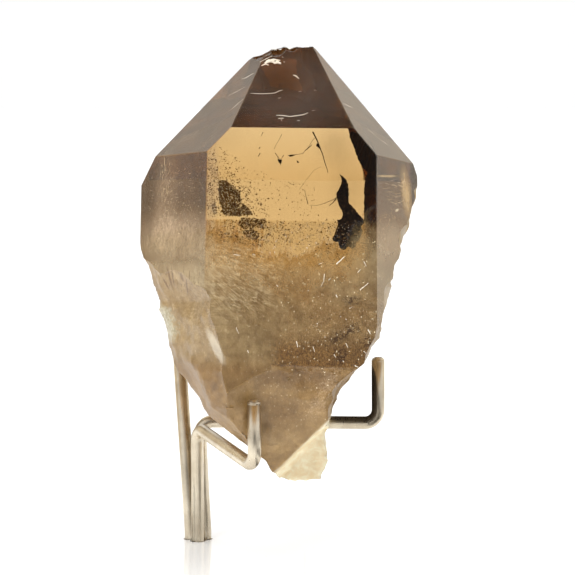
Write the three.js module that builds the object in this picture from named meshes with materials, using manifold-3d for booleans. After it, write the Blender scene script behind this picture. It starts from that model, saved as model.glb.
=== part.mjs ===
// Smoky quartz crystal on a three-wire display stand.
// Millimetres, +Z up. The origin is the middle of the base plate's underside.
// The view from the front looks along +Y, with +X to the right.
import * as THREE from "three";
import { mergeVertices } from "three/addons/utils/BufferGeometryUtils.js";
import Module from "manifold-3d";

const wasm = await Module();
wasm.setup();

// ---------------------------------------------------------------- driving dimensions

const CLEARANCE = 0.3; // air left between two pieces that touch

const BASE_WIDTH = 120;
const BASE_DEPTH = 92;
const BASE_THICKNESS = 6;
const BASE_CORNER_RADIUS = 8;
const BASE_EDGE_ROUND = 0.6;
const SOCKET_DEPTH = 4;

const WIRE_DIAMETER = 3;
const WIRE_SIDES = 16;
const BEND_RADIUS = 3.1; // of the wire's middle line
const BEND_STEPS = 7;

const LEAN_BACK = 6.8; // degrees, the crystal's tip leans away from the front
const TURN = 5.1; // degrees, the front face turns to the right
const ROLL = 0.6; // degrees, the tip rolls to the right
const CRYSTAL_CENTRE = new THREE.Vector3(1.35, 0, 100.05); // on its axis, level with its shoulder

// The crystal's faces. Azimuth runs from the front round to the right, tilt is the angle from
// the long axis (90 is a prism face) and distance is from the crystal's centre.
const CRYSTAL_FACES = [
  { name: "prism front", azimuth: 0, tilt: 90.4, distance: 20 },
  { name: "prism front left", azimuth: -59.8, tilt: 89.7, distance: 26.3 },
  { name: "prism back left", azimuth: -120.1, tilt: 89.6, distance: 29.7 },
  { name: "prism back", azimuth: 179.9, tilt: 90, distance: 20.1 },
  { name: "prism back right", azimuth: 119.9, tilt: 90, distance: 26.85 },
  { name: "prism front right", azimuth: 59.3, tilt: 89.6, distance: 26.4 },
  { name: "prism right corner", azimuth: 88, tilt: 88.5, distance: 30.5 },
  { name: "tip front", azimuth: -0.4, tilt: 50.8, distance: 15.6 },
  { name: "tip front left", azimuth: -59.5, tilt: 50.7, distance: 17.0 },
  { name: "tip back left", azimuth: -120, tilt: 51.4, distance: 16.1 },
  { name: "tip back", azimuth: -179.9, tilt: 51.5, distance: 9.9 },
  { name: "tip back right", azimuth: 120.2, tilt: 51.8, distance: 15.6 },
  { name: "tip front right", azimuth: 60, tilt: 53.2, distance: 17.8 },
];
const CRYSTAL_FOOT = -88; // below the lowest break

// Round bites out of the tip's ridge, as [u, v, w, radius].
const TIP_CHIPS = [
  [-8.5, -5.6, 23.3, 6.8],
  [-3.0, -7.6, 22.6, 5.4],
  [0.9, -6.4, 22.6, 4.05],
  [3.3, -4.6, 22.2, 2.35],
];
const BLANK_SIZE = 200;

// ---------------------------------------------------------------- solids and geometry

function solidFrom(geometry) {
  const bare = geometry.clone();
  bare.deleteAttribute("normal");
  bare.deleteAttribute("uv");
  const merged = mergeVertices(bare, 1e-5);
  return new wasm.Manifold(
    new wasm.Mesh({
      numProp: 3,
      vertProperties: new Float32Array(merged.attributes.position.array),
      triVerts: new Uint32Array(merged.index.array),
    }),
  );
}

function geometryFrom(solid) {
  const mesh = solid.getMesh();
  const geometry = new THREE.BufferGeometry();
  geometry.setAttribute("position", new THREE.BufferAttribute(mesh.vertProperties, 3));
  geometry.setIndex(new THREE.BufferAttribute(mesh.triVerts, 1));
  geometry.computeVertexNormals();
  return geometry;
}

// ---------------------------------------------------------------- noise for the broken surfaces

function hash(i, j, seed) {
  const s = Math.sin(i * 127.1 + j * 311.7 + seed * 74.7) * 43758.5453;
  return s - Math.floor(s);
}

function valueNoise(x, y, seed) {
  const i = Math.floor(x);
  const j = Math.floor(y);
  const sx = THREE.MathUtils.smoothstep(x - i, 0, 1);
  const sy = THREE.MathUtils.smoothstep(y - j, 0, 1);
  const near = THREE.MathUtils.lerp(hash(i, j, seed), hash(i + 1, j, seed), sx);
  const far = THREE.MathUtils.lerp(hash(i, j + 1, seed), hash(i + 1, j + 1, seed), sx);
  return THREE.MathUtils.lerp(near, far, sy) * 2 - 1;
}

// Shell-shaped bites: the highest of a field of round caps, with a sharp ridge between two caps.
// The value is how far the bite goes into the stone, never more than `depth`.
function shellBites(x, y, { spacing, depth, seed }) {
  const capRadius = spacing * 1.3;
  const ci = Math.floor(x / spacing);
  const cj = Math.floor(y / spacing);
  let deepest = -Infinity;
  for (let i = ci - 2; i <= ci + 2; i++) {
    for (let j = cj - 2; j <= cj + 2; j++) {
      const cx = (i + 0.2 + 0.6 * hash(i, j, seed)) * spacing;
      const cy = (j + 0.2 + 0.6 * hash(i, j, seed + 1)) * spacing;
      const spread = ((x - cx) ** 2 + (y - cy) ** 2) / (2 * capRadius);
      deepest = Math.max(deepest, depth * hash(i, j, seed + 2) - spread);
    }
  }
  return deepest;
}

// Straight lines between [position, value] pairs, and level beyond both ends.
function along(profile, position) {
  if (position <= profile[0][0]) return profile[0][1];
  for (let i = 1; i < profile.length; i++) {
    const [from, low] = profile[i - 1];
    const [to, high] = profile[i];
    if (position <= to) return THREE.MathUtils.mapLinear(position, from, to, low, high);
  }
  return profile[profile.length - 1][1];
}

// ---------------------------------------------------------------- the crystal, in its own axes
// u runs to the right, v to the back and w up the long axis, from the crystal's centre.

function halfSpaceOutside({ azimuth, tilt, distance }) {
  const a = THREE.MathUtils.degToRad(azimuth);
  const t = THREE.MathUtils.degToRad(tilt);
  const outward = new THREE.Vector3(Math.sin(t) * Math.sin(a), -Math.sin(t) * Math.cos(a), Math.cos(t));
  const block = new THREE.BoxGeometry(BLANK_SIZE * 2, BLANK_SIZE * 2, BLANK_SIZE);
  block.translate(0, 0, distance + BLANK_SIZE / 2);
  block.applyQuaternion(new THREE.Quaternion().setFromUnitVectors(new THREE.Vector3(0, 0, 1), outward));
  return solidFrom(block);
}

function wholeCrystal() {
  const blank = new THREE.BoxGeometry(BLANK_SIZE, BLANK_SIZE, BLANK_SIZE);
  blank.translate(0, 0, CRYSTAL_FOOT + BLANK_SIZE / 2);
  return CRYSTAL_FACES.reduce((body, face) => body.subtract(halfSpaceOutside(face)), solidFrom(blank));
}

// A block with one rough side. `place(a, b, c)` puts the grid point (a, b) at depth c, `surface`
// is the rough side's depth and `far` the depth of the flat side, well outside the stone.
function roughBlock({ aRange, bRange, step, surface, far, place }) {
  const columns = Math.round((aRange[1] - aRange[0]) / step);
  const rows = Math.round((bRange[1] - bRange[0]) / step);
  const positions = [];
  const triangles = [];
  for (const side of [0, 1]) {
    for (let j = 0; j <= rows; j++) {
      for (let i = 0; i <= columns; i++) {
        const a = THREE.MathUtils.mapLinear(i, 0, columns, ...aRange);
        const b = THREE.MathUtils.mapLinear(j, 0, rows, ...bRange);
        positions.push(...place(a, b, side ? far : surface(a, b)));
      }
    }
  }
  const sheet = (columns + 1) * (rows + 1);
  const at = (i, j, side) => side * sheet + j * (columns + 1) + i;
  const quad = (p, q, r, s) => triangles.push(p, q, r, p, r, s);
  for (let j = 0; j < rows; j++) {
    for (let i = 0; i < columns; i++) {
      quad(at(i, j, 0), at(i + 1, j, 0), at(i + 1, j + 1, 0), at(i, j + 1, 0));
      quad(at(i, j, 1), at(i, j + 1, 1), at(i + 1, j + 1, 1), at(i + 1, j, 1));
    }
  }
  for (let i = 0; i < columns; i++) {
    quad(at(i, 0, 0), at(i, 0, 1), at(i + 1, 0, 1), at(i + 1, 0, 0));
    quad(at(i + 1, rows, 0), at(i + 1, rows, 1), at(i, rows, 1), at(i, rows, 0));
  }
  for (let j = 0; j < rows; j++) {
    quad(at(0, j + 1, 0), at(0, j + 1, 1), at(0, j, 1), at(0, j, 0));
    quad(at(columns, j, 0), at(columns, j, 1), at(columns, j + 1, 1), at(columns, j + 1, 0));
  }
  const geometry = new THREE.BufferGeometry();
  geometry.setAttribute("position", new THREE.Float32BufferAttribute(positions, 3));
  geometry.setIndex(triangles);
  const solid = solidFrom(geometry);
  if (solid.volume() > 0) return solid;
  geometry.setIndex(triangles.reverse());
  return solidFrom(geometry);
}

// Outlines of the broken lower half, as [level, distance from the axis], lowest first.
const LEFT_OUTLINE = [
  [-80, 0.5], [-77.8, -0.9], [-75.1, -2.6], [-73.4, -4.3], [-71, -8.6], [-66.9, -13.9],
  [-62.8, -18.5], [-57.3, -21.5], [-51.8, -23.5], [-47.7, -25.6], [-38.1, -26.5], [-34, -29.2],
  [-28.5, -30.9], [-25, -32.2], [-8, -38],
];
const RIGHT_OUTLINE = [
  [-80, 9.2], [-77.5, 9.8], [-75.5, 10.6], [-66, 10.7], [-60, 12.9], [-57.2, 14.1], [-54.6, 16.6],
  [-51.5, 19.3], [-46, 22], [-38, 23.9], [-28, 26.6], [-21, 28.5], [-11, 31.6], [0, 35],
];
const BACK_OUTLINE = [[-80, 5.2], [-74, 7], [-66, 9.6], [-58, 13], [-45, 18], [-34, 20.6], [-20, 23]];
const FOOT_BREAK = -78.7;
const STEP_LEVEL = -52.2; // where the front face ends in a straight step, then a break
const STEP_CORNER = -3.8; // the step's left end
const STEP_SLANT = -0.046;
const STEP_DEPTH = 0.5;
const BREAK_SLOPE = 0.45; // how fast the front break runs back below its step
const TONGUE_EDGE_POINT = [9.2, -65.2];
const TONGUE_EDGE_ANGLE = THREE.MathUtils.degToRad(46.8);
const TONGUE_STEP = 6.5;

const LEFT_BITES = { spacing: 13, depth: 1.6, seed: 3 };
const RIGHT_BITES = { spacing: 6.5, depth: 1.5, seed: 11 };
const FRONT_BITES = { spacing: 10, depth: 1, seed: 23 };
const BACK_BITES = { spacing: 9, depth: 2.2, seed: 31 };
const FOOT_BITES = { spacing: 5, depth: 1.2, seed: 41 };

function leftBreak(v, w) {
  const ridge = along([[-74, -11], [-50, 2]], w);
  const slope = v < ridge ? 0.45 : along([[-76, 0.1], [-58, 0.5]], w);
  const rough = shellBites(v, w, LEFT_BITES) - 0.7 + 0.2 * valueNoise(v / 3, w / 3, 5);
  return along(LEFT_OUTLINE, w) + slope * Math.abs(v - ridge) + rough;
}

function rightBreak(v, w) {
  const ridge = 7;
  const slope = v < ridge ? 0.12 : 0.25;
  const rough = shellBites(v, w, RIGHT_BITES) - 0.6 + 0.3 * valueNoise(v / 2.5, w / 2.5, 13);
  return along(RIGHT_OUTLINE, w) - slope * Math.abs(v - ridge) - rough;
}

function frontBreak(u, w) {
  const slant = u > STEP_CORNER ? STEP_SLANT : 0.5;
  const below = STEP_LEVEL + slant * (u - STEP_CORNER) - w;
  const past =
    (u - TONGUE_EDGE_POINT[0]) * Math.sin(TONGUE_EDGE_ANGLE) -
    (w - TONGUE_EDGE_POINT[1]) * Math.cos(TONGUE_EDGE_ANGLE);
  const tongue = TONGUE_STEP * THREE.MathUtils.smoothstep(past, 0, 1.2);
  const rough = shellBites(u, w, FRONT_BITES) - 0.2 + 0.15 * valueNoise(u / 3, w / 3, 29);
  return -20 + BREAK_SLOPE * below + tongue + rough * THREE.MathUtils.clamp(below / 8, 0, 1);
}

function backBreak(u, w) {
  const rough = shellBites(u, w, BACK_BITES) - 0.9 + 0.3 * valueNoise(u / 2.5, w / 2.5, 37);
  return along(BACK_OUTLINE, w) - rough;
}

// The straight step that ends the front face, cut as a shallow box with a slanted top.
function stepCutter() {
  const [left, right, foot, front] = [STEP_CORNER - 0.5, 30, -99, -60];
  const top = (u) => STEP_LEVEL + STEP_SLANT * (u - STEP_CORNER);
  const outline = new THREE.Shape([
    new THREE.Vector2(left, foot),
    new THREE.Vector2(right, foot),
    new THREE.Vector2(right, top(right)),
    new THREE.Vector2(left, top(left)),
  ]);
  const box = new THREE.ExtrudeGeometry(outline, { depth: STEP_DEPTH - 20 - front, bevelEnabled: false });
  box.rotateX(Math.PI / 2);
  box.translate(0, STEP_DEPTH - 20, 0);
  return solidFrom(box);
}

function footBreak(u, v) {
  return FOOT_BREAK + shellBites(u, v, FOOT_BITES);
}

function chip([u, v, w, radius]) {
  const ball = new THREE.IcosahedronGeometry(radius, 3);
  ball.translate(u, v, w);
  return solidFrom(ball);
}

function crystalGeometry() {
  const levels = [-88, 2];
  const breaks = [
    { aRange: [-28, 28], surface: leftBreak, far: -70, place: (v, w, u) => [u, v, w] },
    { aRange: [-28, 28], surface: rightBreak, far: 70, place: (v, w, u) => [u, v, w] },
    { aRange: [-42, 42], surface: frontBreak, far: -60, place: (u, w, v) => [u, v, w] },
    { aRange: [-42, 42], surface: backBreak, far: 60, place: (u, w, v) => [u, v, w] },
  ];
  const foot = { aRange: [-14, 20], bRange: [-24, 20], surface: footBreak, far: -99,
    place: (u, v, w) => [u, v, w] };
  const cutters = [
    ...breaks.map((cut) => roughBlock({ bRange: levels, step: 2, ...cut })),
    roughBlock({ step: 1.8, ...foot }),
    stepCutter(),
    ...TIP_CHIPS.map(chip),
  ];
  return geometryFrom(cutters.reduce((rest, cutter) => rest.subtract(cutter), wholeCrystal()));
}

// ---------------------------------------------------------------- the wires
// Each route is the wire's middle line: its corners, each bent to the same radius.

const FOOT_LEVEL = BASE_THICKNESS - SOCKET_DEPTH + CLEARANCE;
const WIRE_SPACING = WIRE_DIAMETER + 0.25;
const BUNDLE = new THREE.Vector2(-18.85, 2.5); // the front wire's foot; the other two stand behind it
const FEET = {
  front: [BUNDLE.x, BUNDLE.y],
  back: [BUNDLE.x - WIRE_SPACING / 2, BUNDLE.y + WIRE_SPACING * Math.sin(Math.PI / 3)],
  side: [BUNDLE.x + WIRE_SPACING / 2, BUNDLE.y + WIRE_SPACING * Math.sin(Math.PI / 3)],
};
const BUNDLE_TOP = BASE_THICKNESS + 2; // the wires run straight up to here, then part

const ROUTES = {
  back_support: [
    [...FEET.back, FOOT_LEVEL],
    [...FEET.back, BUNDLE_TOP],
    [-23.8, 6.9, 60.2],
  ],
  front_prong: [
    [...FEET.front, FOOT_LEVEL],
    [-18.9, 2.5, 32.7],
    [-5.2, -26.05, 27.6],
    [-5.3, -26.9, 42.8],
  ],
  side_hook: [
    [...FEET.side, FOOT_LEVEL],
    [...FEET.side, BUNDLE_TOP],
    [-18.5, 6, 33.6],
    [23.2, 5.4, 33.3],
    [23.1, 5.4, 48.7],
  ],
};

// A bent wire: straight runs joined by round bends. Its stations sit only where the wire bends.
class WireRoute extends THREE.Curve {
  constructor(corners) {
    super();
    const points = corners.map((corner) => new THREE.Vector3(...corner));
    this.stations = [points[0]];
    for (let i = 1; i < points.length - 1; i++) {
      this.addBend(points[i - 1], points[i], points[i + 1]);
    }
    this.stations.push(points[points.length - 1]);
  }

  addBend(before, corner, after) {
    const inward = before.clone().sub(corner).normalize();
    const outward = after.clone().sub(corner).normalize();
    const half = inward.angleTo(outward) / 2;
    const reach = BEND_RADIUS / Math.tan(half);
    const middle = inward.clone().add(outward).normalize();
    const centre = corner.clone().addScaledVector(middle, BEND_RADIUS / Math.sin(half));
    const start = corner.clone().addScaledVector(inward, reach).sub(centre);
    const axis = start.clone().cross(corner.clone().addScaledVector(outward, reach).sub(centre)).normalize();
    const sweep = Math.PI - 2 * half;
    const steps = Math.max(1, Math.round((BEND_STEPS * sweep) / (Math.PI / 2)));
    for (let k = 0; k <= steps; k++) {
      this.stations.push(start.clone().applyAxisAngle(axis, (sweep * k) / steps).add(centre));
    }
  }

  getPoint(t, target = new THREE.Vector3()) {
    const place = t * (this.stations.length - 1);
    const i = Math.min(Math.floor(place), this.stations.length - 2);
    return target.lerpVectors(this.stations[i], this.stations[i + 1], place - i);
  }

  getPointAt(t, target) {
    return this.getPoint(t, target);
  }

  getTangentAt(t, target = new THREE.Vector3()) {
    const last = this.stations.length - 1;
    const i = Math.round(t * last);
    const ahead = this.stations[Math.min(i + 1, last)];
    const behind = this.stations[Math.max(i - 1, 0)];
    return target.copy(ahead).sub(behind).normalize();
  }
}

function wireGeometry(corners, diameter = WIRE_DIAMETER) {
  const route = new WireRoute(corners);
  const section = new THREE.Shape();
  for (let k = 0; k < WIRE_SIDES; k++) {
    const angle = (2 * Math.PI * k) / WIRE_SIDES;
    const [x, y] = [(diameter / 2) * Math.cos(angle), (diameter / 2) * Math.sin(angle)];
    if (k === 0) section.moveTo(x, y);
    else section.lineTo(x, y);
  }
  section.closePath();
  const tube = new THREE.ExtrudeGeometry(section, {
    steps: route.stations.length - 1,
    extrudePath: route,
    bevelEnabled: false,
  });
  return geometryFrom(solidFrom(tube));
}

// ---------------------------------------------------------------- the base plate

function baseGeometry() {
  const halfWidth = BASE_WIDTH / 2 - BASE_EDGE_ROUND;
  const halfDepth = BASE_DEPTH / 2 - BASE_EDGE_ROUND;
  const radius = BASE_CORNER_RADIUS - BASE_EDGE_ROUND;
  const plan = new THREE.Shape();
  plan.absarc(halfWidth - radius, halfDepth - radius, radius, 0, Math.PI / 2);
  plan.absarc(radius - halfWidth, halfDepth - radius, radius, Math.PI / 2, Math.PI);
  plan.absarc(radius - halfWidth, radius - halfDepth, radius, Math.PI, 1.5 * Math.PI);
  plan.absarc(halfWidth - radius, radius - halfDepth, radius, 1.5 * Math.PI, 2 * Math.PI);
  const plate = new THREE.ExtrudeGeometry(plan, {
    depth: BASE_THICKNESS - 2 * BASE_EDGE_ROUND,
    bevelThickness: BASE_EDGE_ROUND,
    bevelSize: BASE_EDGE_ROUND,
    bevelSegments: 2,
    curveSegments: 6,
  });
  plate.translate(0, 0, BASE_EDGE_ROUND);
  return geometryFrom(
    Object.values(FEET).reduce((body, [x, y]) => {
      const hole = new THREE.CylinderGeometry(
        WIRE_DIAMETER / 2 + CLEARANCE, WIRE_DIAMETER / 2 + CLEARANCE, SOCKET_DEPTH * 2, WIRE_SIDES,
      );
      hole.rotateX(Math.PI / 2);
      hole.translate(x, y, BASE_THICKNESS);
      return body.subtract(solidFrom(hole));
    }, solidFrom(plate)),
  );
}

// ---------------------------------------------------------------- materials and assembly

const smokyQuartz = new THREE.MeshStandardMaterial({
  color: 0x8a6a45, roughness: 0.12, metalness: 0, transparent: true, opacity: 0.8,
});
const wireMetal = new THREE.MeshStandardMaterial({ color: 0xbcb3a0, roughness: 0.3, metalness: 1 });
const whiteAcrylic = new THREE.MeshStandardMaterial({ color: 0xf4f3f0, roughness: 0.12, metalness: 0 });

function namedMesh(name, geometry, material) {
  const mesh = new THREE.Mesh(geometry, material);
  mesh.name = name;
  return mesh;
}

const part = new THREE.Group();

const crystalSeat = new THREE.Group();
crystalSeat.position.copy(CRYSTAL_CENTRE);
crystalSeat.rotation.set(
  THREE.MathUtils.degToRad(-LEAN_BACK), THREE.MathUtils.degToRad(ROLL), 0, "YXZ",
);
const crystal = namedMesh("crystal", crystalGeometry(), smokyQuartz);
crystal.rotation.z = THREE.MathUtils.degToRad(TURN);
crystalSeat.add(crystal);
part.add(crystalSeat);

for (const [name, corners] of Object.entries(ROUTES)) {
  part.add(namedMesh(name, wireGeometry(corners), wireMetal));
}

part.add(namedMesh("base", baseGeometry(), whiteAcrylic));

export default part;
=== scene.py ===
"""Smoky quartz crystal on a three-wire stand: the finished looks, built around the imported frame."""
import math
import random

import bmesh
import bpy
from bpy.props import FloatProperty, FloatVectorProperty, IntProperty, PointerProperty
from mathutils import Matrix, Vector, noise


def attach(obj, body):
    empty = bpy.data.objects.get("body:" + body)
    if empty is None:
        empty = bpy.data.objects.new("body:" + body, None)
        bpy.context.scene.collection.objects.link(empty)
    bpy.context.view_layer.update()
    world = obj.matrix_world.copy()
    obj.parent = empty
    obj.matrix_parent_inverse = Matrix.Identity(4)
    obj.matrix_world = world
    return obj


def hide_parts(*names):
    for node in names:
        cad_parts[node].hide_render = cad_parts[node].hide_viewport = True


bl_info = {
    "name": "Smoky Quartz on a Wire Stand",
    "version": (1, 0, 0),
    "blender": (4, 5, 0),
    "location": "View3D > Sidebar > Quartz",
    "description": "Builds a smoky quartz point, its inner fractures and its bent wire stand",
    "category": "Object",
}

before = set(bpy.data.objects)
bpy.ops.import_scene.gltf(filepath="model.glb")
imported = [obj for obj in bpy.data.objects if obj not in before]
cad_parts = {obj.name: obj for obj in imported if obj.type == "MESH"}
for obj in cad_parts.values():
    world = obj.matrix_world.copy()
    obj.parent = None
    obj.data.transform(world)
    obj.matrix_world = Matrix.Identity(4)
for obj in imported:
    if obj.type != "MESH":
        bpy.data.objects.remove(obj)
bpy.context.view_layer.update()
MM = 0.001

# ---------------------------------------------------------------- the stone's own axes
# u runs to the right across the widest face, v to the back, w up the long axis, in millimetres.

STONE_CENTRE = Vector((1.35, 0.0, 100.05)) * MM
LEAN_BACK, TURN, ROLL = math.radians(6.8), math.radians(5.1), math.radians(0.6)
STONE_TURN = (
    Matrix.Rotation(ROLL, 4, "Y") @ Matrix.Rotation(-LEAN_BACK, 4, "X") @ Matrix.Rotation(TURN, 4, "Z")
)
STONE_PLACE = Matrix.Translation(STONE_CENTRE) @ STONE_TURN @ Matrix.Scale(MM, 4)

# Faces of the stone: azimuth from the front to the right, tilt from the long axis, distance.
FACES = {
    "prism front": (0, 90.4, 20),
    "prism front left": (-59.8, 89.7, 26.3),
    "prism front right": (59.3, 89.6, 26.4),
    "right corner": (88, 88.5, 30.5),
    "tip front": (-0.4, 50.8, 15.6),
    "tip front left": (-59.5, 50.7, 17.0),
    "tip front right": (60, 53.2, 17.8),
}


def face_normal(face):
    azimuth, tilt, _ = FACES[face]
    a, t = math.radians(azimuth), math.radians(tilt)
    return Vector((math.sin(t) * math.sin(a), -math.sin(t) * math.cos(a), math.cos(t)))


def on_face(face, u, w, depth=0.0):
    """The point of a face at that u and w, pushed `depth` millimetres into the stone."""
    n = face_normal(face)
    distance = FACES[face][2] - depth
    v = (distance - n.x * u - n.z * w) / n.y
    return Vector((u, v, w))


# ---------------------------------------------------------------- materials


class Shader:
    """A material's node tree, with short calls for the nodes used here."""

    def __init__(self, name):
        self.material = bpy.data.materials.new(name)
        self.material.use_nodes = True
        self.tree = self.material.node_tree
        self.tree.nodes.clear()
        self.output = self.tree.nodes.new("ShaderNodeOutputMaterial")
        self.surface = self.tree.nodes.new("ShaderNodeBsdfPrincipled")
        self.tree.links.new(self.surface.outputs["BSDF"], self.output.inputs["Surface"])

    def feed(self, socket, value):
        """Links a socket, or sets it; a colour may leave out its alpha."""
        if isinstance(value, bpy.types.NodeSocket):
            self.tree.links.new(value, socket)
        else:
            socket.default_value = (*value, 1.0) if socket.type == "RGBA" and len(value) == 3 else value

    def set(self, **values):
        """Feeds the surface's own sockets."""
        for key, value in values.items():
            self.feed(self.surface.inputs[key.replace("_", " ")], value)

    def node(self, kind, inputs, **settings):
        made = self.tree.nodes.new(kind)
        for key, value in settings.items():
            setattr(made, key, value)
        for key, value in inputs.items():
            self.feed(made.inputs[key], value)
        return made

    def math(self, operation, *values, clamp=False):
        made = self.node("ShaderNodeMath", dict(enumerate(values)), operation=operation, use_clamp=clamp)
        return made.outputs[0]

    def plus(self, first, *others):
        for value in others:
            first = self.math("ADD", first, value)
        return first

    def times(self, first, *others):
        for value in others:
            first = self.math("MULTIPLY", first, value)
        return first

    def most(self, first, *others):
        for value in others:
            first = self.math("MAXIMUM", first, value)
        return first

    def more(self, base, value, share):
        """The base with a share of the value added."""
        return self.math("MULTIPLY_ADD", value, share, base)

    def rest(self, value):
        """What the value leaves of 1."""
        return self.math("SUBTRACT", 1.0, value)

    def ramp(self, value, low, high, to_low=0.0, to_high=1.0):
        """The value eased from one span of numbers to another."""
        spans = dict(enumerate((value, low, high, to_low, to_high)))
        return self.node("ShaderNodeMapRange", spans, interpolation_type="SMOOTHSTEP").outputs["Result"]

    def blend(self, factor, a, b):
        """Numbers a and b mixed by factor."""
        return self.node("ShaderNodeMix", {0: factor, 2: a, 3: b}).outputs[0]

    def tint(self, factor, a, b, how="MIX"):
        """Colours a and b mixed by factor."""
        sockets = {0: factor, 6: a, 7: b}
        return self.node("ShaderNodeMix", sockets, data_type="RGBA", blend_type=how).outputs[2]

    def dim(self, factor, colour, by):
        """The colour multiplied by another, as far as factor says."""
        return self.tint(factor, colour, self.tint(1.0, colour, by, "MULTIPLY"))

    def colours(self, value, stops):
        """A colour read from a row of (position, colour) stops."""
        made = self.node("ShaderNodeValToRGB", {"Fac": value})
        row = made.color_ramp.elements
        while len(row) < len(stops):
            row.new(1.0)
        for element, (position, colour) in zip(row, stops):
            element.position, element.color = position, (*colour, 1.0)
        return made.outputs["Color"]

    def noise(self, vector, scale, detail=3.0, roughness=0.5, distortion=0.0):
        return self.node("ShaderNodeTexNoise", {
            "Vector": vector, "Scale": scale, "Detail": detail, "Roughness": roughness,
            "Distortion": distortion,
        }).outputs["Fac"]

    def drawn(self, vector, stretch, detail, roughness, distortion=0.0, turn=(0.0, 0.0, 0.0)):
        """Noise drawn out into strands or lines."""
        return self.noise(self.stretched(vector, stretch, turn), 1.0, detail, roughness, distortion)

    def stretched(self, vector, scale, rotation=(0.0, 0.0, 0.0), location=(0.0, 0.0, 0.0)):
        return self.node("ShaderNodeMapping", {
            "Vector": vector, "Scale": scale, "Rotation": rotation, "Location": location,
        }, vector_type="POINT").outputs["Vector"]

    def object_space(self):
        return self.node("ShaderNodeTexCoord", {}).outputs["Object"]

    def stone_space(self):
        """The stone's own axes in millimetres."""
        return self.node("ShaderNodeMapping", {
            "Vector": self.object_space(), "Location": STONE_CENTRE,
            "Rotation": STONE_TURN.to_euler("XYZ"), "Scale": (MM, MM, MM),
        }, vector_type="TEXTURE").outputs["Vector"]

    def split(self, vector):
        return self.node("ShaderNodeSeparateXYZ", {"Vector": vector}).outputs[0:3]

    def bump(self, height, distance, strength):
        return self.node("ShaderNodeBump", {
            "Height": height, "Distance": distance, "Strength": strength,
        }).outputs["Normal"]


# Colours by tone: the milky quartz, from dark honey to cream, and the frosted back's drapes.
MILKY_COLOURS = ((0.12, (0.10, 0.051, 0.013)), (0.38, (0.31, 0.20, 0.077)),
                 (0.60, (0.52, 0.372, 0.177)), (0.85, (0.82, 0.665, 0.40)))
DRAPE_COLOURS = ((0.40, (0.16, 0.08, 0.02)), (0.50, (0.80, 0.58, 0.30)), (0.58, (1.0, 0.96, 0.84)))
# What a darker patch multiplies a face's colour by; many darker patches are painted shade.
SHADE_COLOUR = (0.10, 0.06, 0.03)
# Soft lighter (+) and darker (-) patches of the milky quartz: centre u and w, reach along and across,
# turn in degrees and strength.
TONE_PATCHES = (
    (-24.0, -30.0, 7.0, 7.0, 0, 0.14), (-17.0, -31.0, 4.5, 7.0, 20, 0.10),
    (-4.0, -33.0, 6.0, 6.0, 0, 0.01), (8.0, -34.0, 6.0, 6.0, 0, 0.05),
    (-22.0, -40.0, 5.0, 10.0, 15, 0.08), (-4.5, -43.5, 6.0, 5.0, 0, -0.08),
    (13.0, -44.0, 8.0, 6.0, 0, -0.06), (-18.0, -58.0, 5.0, 5.0, 0, 0.06),
    (1.0, -55.0, 8.0, 2.5, 0, -0.14), (-1.0, -63.0, 5.0, 4.0, 0, -0.09),
    (6.0, -61.0, 4.0, 4.0, 0, 0.04), (17.0, -28.0, 3.5, 5.0, 0, 0.12),
    (-1.0, -70.0, 5.0, 4.0, 0, 0.10),
)
# Dark grainy clusters on the right: centre, reach, turn.
DARK_CLUSTERS = (
    ((11.4, -45.6), (4.6, 1.2), 28), ((13.8, -37.9), (2.2, 1.0), 0), ((14.5, -43.9), (1.4, 1.5), 0),
    ((17.0, -46.8), (1.4, 1.6), 0), ((11.5, -50.2), (1.6, 2.4), 0),
)
# Dark strokes on the left: centre, width and length, turn.
GOUGES = (
    ((-26.0, -32.6), (0.22, 3.2), 18), ((-25.3, -32.6), (0.14, 2.4), 11),
    ((-23.4, -32.9), (0.24, 1.0), 25), ((-22.2, -35.0), (0.16, 1.6), 12),
    ((-26.6, -34.2), (0.16, 1.4), 30),
)
# Three sets of painted glints, bright specks painted into the milky quartz: how each grid of them is
# stretched and turned.
PAINTED_GLINT_GRIDS = (((1.7, 1.7, 0.9), 0.6), ((1.2, 1.5, 2.4), -0.4), ((2.4, 2.0, 1.0), -0.9))
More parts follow.
